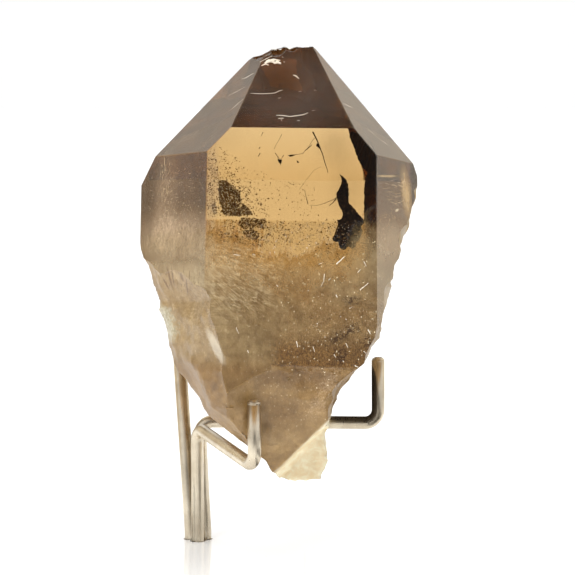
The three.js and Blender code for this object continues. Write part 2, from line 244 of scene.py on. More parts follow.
# Faint films close under single faces: face, centre u and w, reach, turn, thickness, how grainy it is from 0
# to 1, and colour. Two of them are painted light, as marked below.
FILMS = (
    ("tip front left", (-19.0, 4.0), (16.0, 14.0), 45, 0.08, 0, (0.94, 0.52, 0.19)),
    ("tip front right", (18.0, 3.0), (14.0, 12.0), -45, 0.08, 0, (0.66, 0.46, 0.26)),
    ("tip front right", (11.5, 8.5), (9.0, 6.0), -45, 0.035, 0, (1.0, 0.72, 0.42)),
    ("prism front left", (-26.0, -15.0), (9.0, 11.0), 0, 0.135, 1, (0.60, 0.44, 0.30)),
    ("prism front left", (-26.0, -7.2), (8.0, 3.2), 0, 0.03, 0, (0.62, 0.40, 0.22)),
    ("prism front left", (-27.4, -14.5), (1.8, 10.0), -4, 0.08, 0.6, (0.92, 0.70, 0.46)),
    ("prism front left", (-24.5, -24.5), (9.0, 5.5), 0, 0.45, 0.25, (0.66, 0.49, 0.31)),
    ("prism front right", (23.0, -15.0), (7.0, 11.0), 0, 0.12, 0.8, (0.54, 0.36, 0.21)),
    ("prism front right", (23.2, -7.7), (4.6, 1.8), 0, 0.05, 0.3, (0.80, 0.48, 0.22)),
    ("prism front right", (27.5, -12.8), (1.15, 4.8), 9, 0.42, 0.3, (0.90, 0.62, 0.28)),
    ("prism front right", (21.8, -9.8), (2.7, 0.26), 8, 0.40, 0, (1.0, 0.74, 0.38)),
    # a painted glint on the right face
    ("prism front right", (24.8, -17.1), (0.6, 0.26), 30, 0.50, 0, (1.0, 0.85, 0.58)),
    ("prism front right", (23.0, -25.0), (7.0, 4.5), 0, 0.34, 0, (0.95, 0.68, 0.42)),
    # painted shade: the dark left edge of the front face's clear window
    ("prism front", (-18.6, -12.0), (2.0, 11.0), 0, 0.07, 0, (0.20, 0.10, 0.02)),
    ("tip front", (0.0, 9.0), (13.0, 9.0), 0, 0.035, 0, (0.72, 0.36, 0.10)),
)
# Darker patches of single faces, multiplied into their colour: face, centre u and w, reach, turn, strength,
# how grainy. Those marked below are painted shade.
SHADES = (
    ("prism front left", (-23.4, -15.7), (2.4, 5.2), 0, 0.32, 0.5),
    ("prism front left", (-20.3, -14.0), (1.3, 9.0), 0, 0.35, 0),
    # painted shade: the dark outer edge of the left face
    ("prism front left", (-31.4, -13.0), (2.1, 9.0), 0, 0.65, 0.5),
    ("prism front left", (-24.5, -24.0), (9.0, 7.0), 0, 0.10, 0),
    ("prism front left", (-24.0, -7.5), (5.0, 2.6), 0, 0.22, 0),
    ("prism front right", (23.2, -7.7), (4.6, 1.8), 0, 0.15, 0.3),
    ("prism front right", (22.0, -13.5), (2.6, 4.2), 0, 0.30, 0.5),
    ("prism front right", (25.4, -13.0), (0.5, 3.6), 9, 0.40, 0),
    # painted shade: the dark outer edge of the right face
    ("prism front right", (30.1, -11.5), (1.2, 8.0), 0, 0.80, 0),
    ("prism front right", (26.0, -23.9), (1.0, 0.35), 0, 0.60, 0),
    ("prism front right", (23.5, -20.5), (3.0, 3.0), 0, 0.18, 1),
    # painted shade: the dark rounded right corner
    ("right corner", (31.0, -12.0), (4.0, 9.0), 0, 0.75, 0),
    # painted shade: the dim edges of the front face's clear window, this row and the three below
    ("prism front", (-15.5, -1.5), (4.5, 3.0), 0, 0.14, 0),
    ("prism front", (9.8, -4.0), (3.4, 4.0), 0, 0.36, 0),
    ("prism front", (12.5, -13.0), (3.5, 6.0), 0, 0.28, 0),
    ("prism front", (-17.0, -9.0), (2.5, 8.0), 0, 0.10, 0),
    ("tip front", (-2.0, 11.6), (4.2, 3.6), 0, 0.66, 0),
)


class QuartzShader(Shader):
    """The stone's finish: clear and smoky above, milky below, with what lies on or close to its faces."""

    def __init__(self):
        super().__init__("smoky quartz")
        self.uvw = self.stone_space()
        self.u, self.v, self.w = self.split(self.uvw)
        self.broken = self.node("ShaderNodeAttribute", {}, attribute_name="broken").outputs["Fac"]
        self.at_back = self.ramp(self.v, 8.0, 14.0)
        # noise from slow clouds to fine grit, then strands and grains drawn out along the stone
        self.slow = self.noise(self.uvw, 0.07, 3.0, 0.55, 0.6)
        self.cloud = self.noise(self.uvw, 0.16, 5.0, 0.6, 0.8)
        self.mid = self.noise(self.uvw, 0.45, 5.0, 0.65, 0.4)
        self.fine = self.noise(self.uvw, 1.3, 4.0, 0.7)
        self.strands = self.drawn(self.uvw, (1.3, 0.7, 0.45), 6.0, 0.75, 0.5, (0.0, 0.5, 0.0))
        self.grains = self.drawn(self.uvw, (3.2, 2.0, 2.4), 5.0, 0.75, turn=(0.0, -0.5, 0.0))
        self.streaked = self.ramp(self.drawn(self.uvw, (0.4, 0.4, 0.16), 4.0, 0.6), 0.36, 0.68, 0.86, 1.08)
        sand = self.drawn(self.uvw, (1.5, 1.2, 1.1), 5.0, 0.85)
        self.sand = self.times(self.streaked, self.ramp(sand, 0.38, 0.68, 0.35, 1.7))

    def spot(self, centre, size, turn=0.0, soft=0.5, u=None):
        """1 inside a soft ellipse round centre, 0 outside, in the front view's u and w."""
        c, s = math.cos(math.radians(turn)), math.sin(math.radians(turn))
        du = self.math("SUBTRACT", self.u if u is None else u, centre[0])
        dw = self.math("SUBTRACT", self.w, centre[1])
        a = self.more(self.times(dw, s / size[0]), du, c / size[0])
        b = self.more(self.times(dw, c / size[1]), du, -s / size[1])
        r = self.math("SQRT", self.more(self.times(b, b), a, a))
        return self.ramp(r, 1.0 + soft, 1.0 - soft)

    def on_plane(self, face):
        """1 on one natural face of the stone, 0 elsewhere."""
        along = {0: self.uvw, 1: face_normal(face)}
        side = self.node("ShaderNodeVectorMath", along, operation="DOT_PRODUCT").outputs["Value"]
        off = self.math("SUBTRACT", side, float(FACES[face][2]))
        return self.ramp(self.math("ABSOLUTE", off), 0.25, 0.1)

    def milkiness(self, haze_level):
        """Where the clear quartz ends: a cloudy shelf under the front, a sharp line across the back."""
        u, w = self.u, self.w
        level = self.plus(
            self.ramp(u, -4.0, -15.0, haze_level, haze_level + 5.0),
            self.ramp(u, 11.0, 16.0, 0.0, 7.0), self.ramp(u, 2.0, 9.0, 0.0, 1.5),
        )
        # how far each noise moves the shelf under the front face, and under the faces left of it
        for grain, front, left in ((self.cloud, 12.0, 4.0), (self.strands, 9.0, 1.5), (self.fine, 0.0, 9.0)):
            reach = self.ramp(u, -19.0, -20.5, front, left)
            level = self.more(level, self.math("SUBTRACT", grain, 0.5), reach)
        depth = self.math("SUBTRACT", level, w)
        front = self.more(self.ramp(depth, 3.0, 20.0, 0.0, 0.4), self.ramp(depth, 0.0, 6.0), 0.6)
        left_break = self.ramp(self.more(w, self.mid, 5.0), -22.5, -29.0)
        front = self.most(front, self.times(self.ramp(u, -17.5, -21.0), left_break, 0.95))
        back = self.ramp(self.more(w, self.fine, 0.8), -18.2, -18.9)
        haze = self.blend(self.at_back, front, back)
        return self.most(haze, self.times(self.broken, self.ramp(w, 4.0, -4.0)))

    def tone(self):
        """How light the milky quartz is, from its clouds, strands, patches, fan of fibres and wisps."""
        u, w, uvw = self.u, self.w, self.uvw
        tone = -0.15
        for grain, share in ((self.slow, 0.3), (self.cloud, 0.3), (self.mid, 0.16), (self.strands, 0.26),
                             (self.grains, 0.30)):
            tone = self.more(tone, grain, share)
        for cu, cw, ru, rw, turn, strength in TONE_PATCHES:
            tone = self.more(tone, self.spot((cu, cw), (ru, rw), turn, 0.6), strength)
        # fibres that fan out from one point of the left edge
        across, down = self.plus(u, 32.0), self.plus(w, 22.0)
        angle = self.math("ARCTAN2", down, across)
        reach = self.math("SQRT", self.more(self.times(across, across), down, down))
        polar = self.node("ShaderNodeCombineXYZ", {
            "X": self.times(angle, 50.0), "Y": self.times(reach, 0.4), "Z": self.times(self.v, 0.2),
        }).outputs[0]
        fibres = self.ramp(self.noise(polar, 1.0, 5.0, 0.75, 1.2), 0.40, 0.66, -0.3, 1.0)
        tone = self.more(tone, self.times(fibres, self.spot((-10.5, -32.0), (8.5, 10.0), 25.0)), 0.3)
        ripple = self.drawn(uvw, (0.35, 1.0, 2.2), 4.0, 0.7, turn=(0.0, 0.12, 0.0))
        ripple = self.math("SUBTRACT", ripple, 0.5)
        tone = self.more(tone, self.times(ripple, self.spot((-19.0, -39.0), (5.0, 8.0), 0, 0.6)), 0.7)
        wisps = self.drawn(uvw, (0.8, 0.8, 0.3), 6.0, 0.75, 0.8, (0.0, 0.5, 0.3))
        wisps = self.times(self.ramp(wisps, 0.56, 0.74), self.ramp(u, 4.0, -10.0, 0.35, 1.0))
        return self.more(tone, wisps, 0.22)

    def find_marks(self):
        """Where the marks and grains of the milky half are, and its painted glints, each as a number from 0
        to 1.
        """
        u, v, w, uvw = self.u, self.v, self.w, self.uvw
        gouges = self.drawn(uvw, (2.6, 1.0, 0.4), 3.0, 0.6, 0.4, (0.0, -0.32, 0.0))
        gouges = self.times(self.ramp(gouges, 0.585, 0.64), self.spot((-24.5, -32.5), (4.5, 3.4), -12, 0.4))
        wavering = self.more(u, self.fine, 0.5)
        self.gouges = self.most(gouges, *(self.spot(*stroke, u=wavering) for stroke in GOUGES))
        # crumbly quartz at the lower right, and the dark pits in it
        self.crumbs = self.times(
            self.ramp(self.more(u, self.cloud, 16.0), 4.0, 14.0), self.ramp(v, -14.0, -17.0),
            self.ramp(self.more(w, self.mid, 8.0), -26.0, -38.0), self.ramp(w, -54.5, -51.5, 0.25, 1.0),
        )
        self.pits = self.times(self.crumbs, self.ramp(self.grains, 0.45, 0.38, 0.0, 0.6))
        # the pale tongue at the foot, the bright chip and the pale strip above it
        along = self.more(self.times(w, -0.685), u, 0.729)
        self.tongue = self.times(self.ramp(along, 50.4, 51.6), self.ramp(w, -60.0, -66.0))
        rough = self.more(self.more(u, self.fine, 2.0), self.mid, 5.0)
        self.chip = self.spot((-23.2, -43.0), (1.9, 4.4), 20.0, 0.3, rough)
        self.strip = self.spot((-15.5, -48.4), (0.8, 3.8), 26.0, 0.45, self.more(u, self.fine, 1.6))
        # the dark band like embers across the front, just above the lower break
        self.embers = self.times(
            self.ramp(w, -44.5, -49.5), self.ramp(w, -53.0, -52.5), self.ramp(u, -6.0, -1.5),
            self.ramp(v, -17.0, -19.0),
        )
        clusters = self.most(*(self.spot(*cluster, 0.6) for cluster in DARK_CLUSTERS))
        self.specks = self.times(clusters, self.ramp(self.noise(uvw, 1.6, 5.0, 0.75), 0.46, 0.54))
        # painted glints: a few cells of three stretched grids, at the front of the milky half
        sets = []
        for stretch, turn in PAINTED_GLINT_GRIDS:
            grid = self.stretched(uvw, stretch, (0.0, turn, 0.0), (turn * 9, 0.0, 0.0))
            cells = self.node("ShaderNodeTexVoronoi", {"Vector": grid, "Scale": 1.0}).outputs
            chosen = self.ramp(self.split(cells["Color"])[0], 0.80, 1.0)
            sets.append(self.times(self.ramp(cells["Distance"], 0.28, 0.08), chosen))
        place = self.times(self.ramp(u, -12.0, 6.0, 0.25, 1.0), self.ramp(w, -20.0, -27.0))
        self.glints_and_pale_flecks = self.times(self.most(*sets), place, self.ramp(v, -12.0, -16.0))
        frosty = self.spot((7.6, -59.0), (1.6, 5.5), -26.0)
        self.frosty = self.times(frosty, self.ramp(self.grains, 0.46, 0.60))

    def milky_colour(self):
        """The milky quartz with its breaks, marks and grains, the drapes of the frosted back, and its
        painted glints.
        """
        u, w = self.u, self.w
        body = self.colours(self.tone(), MILKY_COLOURS)
        body = self.dim(self.ramp(w, -50.0, -54.0), body, (0.85, 0.745, 0.62))
        body = self.dim(self.times(self.broken, self.ramp(u, -12.0, -16.0)), body, (0.80, 0.74, 0.67))
        body = self.tint(self.times(self.gouges, 0.8), body, (0.17, 0.085, 0.03))
        body = self.dim(self.crumbs, body, (1.0, 0.90, 0.76))
        body = self.tint(self.pits, body, (0.10, 0.045, 0.012))
        pale_grains = self.times(self.crumbs, self.ramp(self.grains, 0.57, 0.64, 0.0, 0.7))
        body = self.tint(pale_grains, body, (0.86, 0.64, 0.38))
        # the frosted back, seen through the clear front: brown and gold drapes
        drapes = self.times(self.drawn(self.uvw, (1.5, 0.6, 0.16), 5.0, 0.65), 0.9)
        drapes = self.plus(self.more(drapes, self.mid, 0.25), self.ramp(u, -10.0, 2.0, -0.05, 0.06))
        body = self.tint(self.times(self.at_back, self.ramp(w, -34.0, -28.0)), body,
                         self.colours(drapes, DRAPE_COLOURS))
        cream = self.tint(self.ramp(self.mid, 0.35, 0.7), (0.92, 0.74, 0.44), (1.0, 0.94, 0.69))
        body = self.tint(self.tongue, body, cream)
        grey_gold = self.tint(self.ramp(self.fine, 0.35, 0.65), (0.36, 0.30, 0.18), (0.58, 0.53, 0.38))
        body = self.tint(self.chip, body, grey_gold)
        body = self.tint(self.times(self.strip, 0.7), body, (0.93, 0.82, 0.62))
        glow = self.tint(self.ramp(self.grains, 0.36, 0.64), (0.07, 0.026, 0.002), (0.38, 0.185, 0.035))
        body = self.tint(self.times(self.embers, 0.8), body, glow)
        body = self.tint(self.times(self.specks, 0.9), body, (0.045, 0.018, 0.004))
        body = self.tint(self.times(self.frosty, 0.18), body, (0.95, 0.80, 0.64))
        # painted glints: bright golden specks where the milky quartz would glint
        return self.tint(self.glints_and_pale_flecks, body, (1.0, 0.86, 0.58))

    def patch_on(self, face, centre, size, turn, grainy):
        """A soft patch of one face, streaked where grainy is 0 and sandy where it is 1."""
        place = self.times(self.spot(centre, size, turn, 0.7), self.on_plane(face))
        return self.times(place, self.blend(grainy, self.streaked, self.sand))

    def filmed(self, body):
        """Films, which dim and tint a face without dulling it: how thick they are, and their colour."""
        film, colour = 0.0, body
        for face, centre, size, turn, thickness, grainy, film_colour in FILMS:
            one = self.times(self.patch_on(face, centre, size, turn, grainy), thickness)
            share = self.math("DIVIDE", one, self.plus(film, one, 0.001))
            colour = self.tint(share, colour, film_colour)
            film = self.plus(film, one)
        return film, colour

    def shaded(self, colour):
        """The colour with the darker patches of single faces, many of them painted shade."""
        for face, centre, size, turn, strength, grainy in SHADES:
            one = self.patch_on(face, centre, size, turn, grainy)
            colour = self.dim(self.math("MULTIPLY", one, strength, clamp=True), colour, SHADE_COLOUR)
        return colour

    def see_through(self, milky, film, open_back):
        """How much light passes: most in the clear half, least in the thick milk, films, marks and painted
        glints.
        """
        dull = self.ramp(self.mid, 0.3, 0.7, 0.34, 0.55)
        dull = self.times(dull, self.ramp(open_back, 0.0, 1.0, 1.0, 0.4))
        dull = self.times(milky, self.more(dull, self.broken, 0.2))
        facing = self.split(self.node("ShaderNodeNewGeometry", {}).outputs["Normal"])[2]
        underside = self.times(self.ramp(facing, -0.4, -0.7), self.ramp(self.w, -50.0, -58.0))
        scratched = self.most(self.times(self.frosty, 0.5), self.gouges)
        return self.times(
            self.rest(self.most(dull, film)), self.rest(self.most(self.glints_and_pale_flecks, self.times(self.chip, 0.75))),
            self.more(1.0, underside, -0.7), self.more(1.0, self.most(self.specks, self.pits), -0.5),
            self.rest(self.times(self.tongue, 0.3)), self.more(1.0, scratched, -0.5),
        )


def quartz_material(look):
    s = QuartzShader()
    s.find_marks()
    milky = s.milkiness(look.haze_level)
    body = s.milky_colour()
    film, film_colour = s.filmed(body)
    share = s.math("DIVIDE", film, s.plus(film, milky, 0.001))
    body = s.tint(share, body, film_colour)
    cover = s.math("MULTIPLY", s.most(milky, film), 7.0, clamp=True)
    colour = s.shaded(s.tint(cover, (1.0, 1.0, 1.0), body))

    open_back = s.times(s.at_back, s.ramp(s.w, -34.0, -26.0))
    frost = s.times(s.blend(s.at_back, 0.36, 0.26), s.ramp(open_back, 0.0, 1.0, 1.0, 0.65))
    gloss = s.times(milky, s.rest(s.most(s.broken, s.specks)))
    # growth lines across the prism faces, and the fine relief of the broken ones
    growth = s.times(s.drawn(s.uvw, (0.02, 0.02, 1.6), 4.0, 0.55), s.ramp(s.w, -5.0, -9.0, 0.0, 0.2))
    s.set(Base_Color=colour, Transmission_Weight=s.see_through(milky, film, open_back),
          Roughness=s.more(look.polish, milky, frost), IOR=look.ior, Coat_Weight=s.times(gloss, 0.6),
          Coat_Roughness=0.05, Normal=s.bump(s.blend(s.broken, growth, s.fine), 0.0001, 0.35))

    smoke = s.node("ShaderNodeVolumeAbsorption", {
        "Color": tuple(look.smoke_colour), "Density": look.smoke_density,
    })
    s.tree.links.new(smoke.outputs["Volume"], s.output.inputs["Volume"])
    return s.material


def dark_veil_and_shade_material():
    s = Shader("dark fracture")
    uvw = s.stone_space()
    u, _, w = s.split(uvw)
    grit = s.noise(uvw, 1.4, 4.0, 0.7)
    glints_and_pale_flecks = s.times(s.ramp(grit, 0.56, 0.64), s.ramp(w, -15.0, -25.0))
    base = s.tint(s.ramp(grit, 0.35, 0.65), (0.018, 0.009, 0.005), (0.05, 0.028, 0.014))
    # painted shade: where the dark sheet at the right front edge runs low, it turns ruddy
    ruddy = s.times(s.ramp(u, 16.5, 18.0), s.ramp(w, -11.0, -18.0))
    base = s.dim(ruddy, base, (3.0, 1.75, 0.4))
    s.set(Base_Color=s.tint(glints_and_pale_flecks, base, (0.45, 0.3, 0.15)), Specular_IOR_Level=0.05,
          Roughness=s.ramp(grit, 0.3, 0.7, 0.35, 0.7), Normal=s.bump(grit, 0.0002, 0.6))
    return s.material


def smudge_material():
    s = Shader("brown smudge")
    grain = s.drawn(s.stone_space(), (1.6, 1.2, 0.7), 5.0, 0.7)
    s.set(Base_Color=s.tint(s.ramp(grain, 0.35, 0.68), (0.07, 0.036, 0.014), (0.28, 0.165, 0.07)),
          Roughness=0.7, Specular_IOR_Level=0.0, Normal=s.bump(grain, 0.0002, 0.6))
    return s.material


def pale_scar_and_glint_material():
    s = Shader("pale scar and painted glint")
    grain = s.noise(s.stone_space(), 3.0, 4.0, 0.7)
    s.set(Base_Color=s.tint(grain, (0.72, 0.58, 0.4), (0.98, 0.93, 0.82)), Roughness=0.45,
          Normal=s.bump(grain, 0.0001, 0.8))
    return s.material


def hair_material():
    s = Shader("pale hair")
    grain = s.noise(s.stone_space(), 1.1, 3.0, 0.6)
    s.set(Base_Color=s.tint(s.ramp(grain, 0.36, 0.62), (0.34, 0.23, 0.11), (0.86, 0.70, 0.44)),
          Roughness=0.6, Specular_IOR_Level=0.1)
    return s.material


def wire_material(look):
    s = Shader("drawn wire")
    place = s.object_space()
    along = s.drawn(place, (2600.0, 2600.0, 60.0), 4.0, 0.6)
    blotch = s.noise(place, 180.0, 4.0, 0.6)
    s.set(Base_Color=s.tint(s.ramp(blotch, 0.3, 0.7), tuple(look.colour), (0.74, 0.66, 0.52)),
          Metallic=1.0, Roughness=s.ramp(along, 0.25, 0.75, 0.24, 0.42),
          Normal=s.bump(s.more(along, blotch, 0.4), 0.00003, 0.5))
    return s.material


def acrylic_material():
    s = Shader("white acrylic")
    place = s.object_space()
    dust = s.noise(place, 900.0, 2.0, 0.5)
    s.set(Base_Color=s.tint(s.ramp(dust, 0.74, 0.8), (0.93, 0.93, 0.92), (0.7, 0.66, 0.58)),
          Roughness=s.ramp(s.noise(place, 60.0, 3.0), 0.3, 0.7, 0.06, 0.12))
    return s.material


# ---------------------------------------------------------------- mesh helpers


def mesh_object(name, bm, material):
    mesh = bpy.data.meshes.new(name)
    bm.to_mesh(mesh)
    bm.free()
    mesh.materials.append(material)
    made = bpy.data.objects.new(name, mesh)
    bpy.context.scene.collection.objects.link(made)
    return made


def join_stone_piece(piece):
    """Every piece of the stone moves with the one body."""
    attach(piece, "root")


def flake(bm, outline, thickness):
    """Adds a thin closed plate: outline is its loop of points, in the stone's axes."""
    normal = sum(
        ((a - outline[0]).cross(b - outline[0]) for a, b in zip(outline[1:], outline[2:])), Vector()
    ).normalized()
    half = normal * (thickness / 2)
    front = [bm.verts.new(STONE_PLACE @ (p + half)) for p in outline]
    back = [bm.verts.new(STONE_PLACE @ (p - half)) for p in outline]
    bm.faces.new(front)
    bm.faces.new(back[::-1])
    for i in range(len(outline)):
        j = (i + 1) % len(outline)
        bm.faces.new((front[j], front[i], back[i], back[j]))


def ragged(outline, step, amount, seed):
    """The same loop with more points along it, each moved a little sideways."""
    rng = random.Random(seed)
    loop = []
    for a, b in zip(outline, outline[1:] + outline[:1]):
        count = max(1, round((b - a).length / step))
        for k in range(count):
            p = a.lerp(b, k / count)
            shift = amount if k else amount * 0.4
            loop.append(p + Vector((rng.uniform(-shift, shift), 0, rng.uniform(-shift, shift))))
    return loop


def closed_up(bm):
    bmesh.ops.remove_doubles(bm, verts=bm.verts, dist=1e-7)
    bmesh.ops.triangulate(bm, faces=[f for f in bm.faces if len(f.verts) > 4])
    bmesh.ops.recalc_face_normals(bm, faces=bm.faces)


# ---------------------------------------------------------------- the crystal

FLAT_LIMIT = math.radians(0.15)
FLAT_AREA = 40e-6  # square metres, the smallest patch that counts as a natural face
WELD = 2e-6  # metres, the gap that the frame's loose triangles are welded across


def natural_faces(bm):
    """The faces that lie in large flat patches: the crystal's own faces."""
    left = set(bm.faces)
    natural = set()
    while left:
        seed = left.pop()
        patch, queue = {seed}, [seed]
        while queue:
            face = queue.pop()
            for edge in face.edges:
                for other in edge.link_faces:
                    if other in left and other.normal.angle(seed.normal, math.pi) < FLAT_LIMIT:
                        left.discard(other)
                        patch.add(other)
                        queue.append(other)
        if sum(face.calc_area() for face in patch) > FLAT_AREA:
            natural |= patch
    return natural


def refine(bm, mask, longest):
    """Halves the long edges of the broken faces, longest first, one to a triangle at a time."""
    while True:
        long = [(e.calc_length(), e) for e in bm.edges if any(f[mask] > 0.5 for f in e.link_faces)]
        long = sorted((pair for pair in long if pair[0] > longest), key=lambda pair: -pair[0])
        if not long:
            return
        taken, chosen = set(), []
        for _, edge in long:
            if not any(face in taken for face in edge.link_faces):
                chosen.append(edge)
                taken.update(edge.link_faces)
        bmesh.ops.subdivide_edges(bm, edges=chosen, cuts=1)


# Deepest shell, ripple and grit of a broken face, in millimetres.
SHELL_DEPTH, RIPPLE_DEPTH, GRIT_DEPTH = 0.16, 0.07, 0.22


def fracture_depth(point):
    """How deep the break's fine relief goes at a point of the shared frame, in metres."""
    p = STONE_PLACE.inverted() @ point
    shells = noise.voronoi(p * 0.22)[0]
    ripple = 0.5 + 0.5 * math.sin((shells[0] * 26.0) + noise.noise(p * 0.3) * 3.0)
    grit = 0.5 + 0.5 * noise.fractal(p * 0.9, 0.9, 2.2, 4)
    return (SHELL_DEPTH * shells[0] + RIPPLE_DEPTH * ripple + GRIT_DEPTH * grit) * MM


class QUARTZ_OT_crystal(bpy.types.Operator):
    """Builds the smoky quartz: flat natural faces above, rough milky breaks below"""

    bl_idname = "quartz.crystal"
    bl_label = "Crystal"

    def execute(self, context):
        look = context.scene.quartz_crystal
        bm = bmesh.new()
        bm.from_mesh(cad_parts["crystal"].data)
        bmesh.ops.remove_doubles(bm, verts=bm.verts, dist=WELD)
        bmesh.ops.dissolve_degenerate(bm, edges=bm.edges, dist=WELD / 2)
        mask = bm.faces.layers.float.new("broken")
        bm.normal_update()
        natural = natural_faces(bm)
        for face in bm.faces:
            face[mask] = 0.0 if face in natural else 1.0
        refine(bm, mask, look.break_grain)
        bm.normal_update()
        free = [x for x in bm.verts if x.link_faces and all(f[mask] > 0.5 for f in x.link_faces)]
        moves = [(x, x.normal * -fracture_depth(x.co)) for x in free]
        for vert, move in moves:
            vert.co += move
        for face in bm.faces:
            face.smooth = face[mask] > 0.5
        for edge in bm.edges:
            if len({f[mask] > 0.5 for f in edge.link_faces}) > 1:
                edge.smooth = False
        bmesh.ops.triangulate(bm, faces=[f for f in bm.faces if len(f.verts) > 4])
        stone = mesh_object("smoky_quartz", bm, quartz_material(look))
        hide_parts("crystal")
        join_stone_piece(stone)
        return {"FINISHED"}


# ---------------------------------------------------------------- inside the crystal

# Outlines in the front view's u and w, each at its own depth v.
DARK_VEILS = {
    "bird": (-15, [
        (10.9, -9.6), (11.5, -10), (12.2, -10.6), (12.6, -11.2), (12.9, -12.3), (13.1, -14.1),
        (13, -15.9), (13.6, -16.5), (14.3, -17.3), (15.2, -18.3), (15.9, -19.2), (16.6, -20),
        (16.6, -20.5), (15.9, -21.2), (16.1, -22.1), (15.9, -23.2), (15.5, -24.1), (14.8, -25),
        (14.6, -25.9), (13.9, -26.3), (13.2, -25.7), (12.8, -26), (12.1, -26.6), (11.5, -26.4),
        (11, -25.7), (10.8, -24.8), (10.1, -24.7), (9.5, -24.3), (9.9, -23.3), (10.2, -22.4),
        (10.6, -21.5), (10.7, -20.8), (10.5, -19.9), (11.4, -19.7), (11.8, -18.8), (11.6, -17.9),
        (11.1, -17), (10.7, -15.9), (10.3, -14.8), (10.4, -13.7), (10.9, -12.8), (11.3, -11.9),
        (11.5, -11.2), (11.3, -10.4)]),
    "crack mouth": (-16, [(5.7, -3.1), (6.1, -2.7), (6.3, -3.3), (6.6, -4.2), (5.6, -3.6)]),
    "arrow": (-14, [(-3, -6), (-2.3, -6.7), (-1.9, -6.5), (-2.2, -8)]),
    "tick": (-14, [(1.4, -6.7), (2, -7.1), (1.6, -7.3)]),
    "lip": (-15, [(-0.6, -5.6), (0, -5.5), (0.9, -5.6), (-0.2, -6)]),
}
# A dark sheet of painted shade, put where the right front edge looks dark: it starts from that edge and runs
# back into the stone: (u, v, w).
EDGE_SHADE_SHEET = [
    (13.5, -8, 0.2), (13.9, -8.6, 0), (14.3, -9.4, 0.4), (14.7, -10.3, -0.1), (14.9, -10.7, 0.1),
    (15.5, -11.9, -0.4), (16.3, -13.5, -1.3), (17, -15.1, -2.5), (17.8, -16.7, -3.6),
    (18.6, -18.3, -4.9), (18.9, -19.0, -6.1), (19.05, -19.3, -8.4), (19.05, -19.3, -13.3),
    (19.05, -19.3, -16.8), (19, -19.3, -20.2), (18.7, -18.6, -20.9), (18.5, -18, -19.9),
    (18, -17, -21.2), (17.5, -16, -20.1), (17, -15, -20.7), (16.6, -14.2, -19.8),
    (16.7, -14.3, -18.7), (16.7, -14.4, -15.3), (16.7, -14.5, -12), (16.8, -14.6, -10.6),
    (17.1, -15.3, -9.5), (17.3, -15.5, -9.1), (16.5, -14, -8.4), (15.7, -12.4, -6.9),
    (15.1, -11.1, -5.1), (14.5, -9.9, -3.2), (13.9, -8.7, -1.4),
]
SMUDGES = {
    "large": (-15, [
        (-16.1, -11.5), (-15.3, -11.4), (-14.6, -11.5), (-13.9, -11.8), (-13.5, -12.3), (-12.7, -12.6),
        (-12.1, -13.4), (-11.2, -13.8), (-11.2, -14.9), (-10.9, -15.8), (-11, -16.5), (-10.1, -16.9),
        (-9.2, -17.6), (-8.7, -18.4), (-8.3, -19.1), (-9.2, -19.1), (-10.1, -19.2), (-11, -19.4),
        (-12.3, -19.4), (-13.6, -19.3), (-14.7, -19.2), (-15.4, -18.5), (-15.2, -17.6), (-15.7, -16.8),
        (-16, -15.4), (-15.9, -14.5), (-16.1, -13.7), (-15.9, -12.5)]),
    "lower": (-13, [
        (-11.3, -20), (-10.4, -19.5), (-8.6, -19.6), (-7.3, -19.8), (-5.3, -19.7), (-5.2, -21),
        (-5.7, -22.1), (-6.4, -21.9), (-7.7, -21.7), (-8.6, -22.2), (-10.4, -22.2), (-11.3, -21.3)]),
    "lowest": (-13, [
        (-10.6, -22.4), (-9.5, -22.2), (-7.7, -22.3), (-6.8, -22.8), (-6.7, -23.9), (-7.7, -24.6),
        (-9, -24.2), (-10.1, -23.7)]),
    "edge": (-16, [(-17.5, -16.8), (-16.8, -16.6), (-16.4, -17.5), (-16.5, -18.8), (-17, -19.4),
                   (-17.4, -18.2)]),
}


class QUARTZ_OT_veils(bpy.types.Operator):
    """Builds the dark fractures that show inside the clear half, and the dark sheet of painted shade at the
    right front edge
    """

    bl_idname = "quartz.veils"
    bl_label = "Dark fractures and shade sheet"

    def execute(self, context):
        size = context.scene.quartz_inside
        loops = [[Vector((u, depth, w)) for u, w in outline] for depth, outline in DARK_VEILS.values()]
        # the dark sheet of painted shade at the right front edge
        loops.append([Vector(point) for point in EDGE_SHADE_SHEET])
        bm = bmesh.new()
        for seed, loop in enumerate(loops):
            loop = ragged(loop, size.veil_step / MM, size.veil_ragged / MM, seed)
            flake(bm, loop, size.veil_thickness / MM)
        closed_up(bm)
        join_stone_piece(mesh_object("dark_fractures_and_shade_sheet", bm, dark_veil_and_shade_material()))
        return {"FINISHED"}


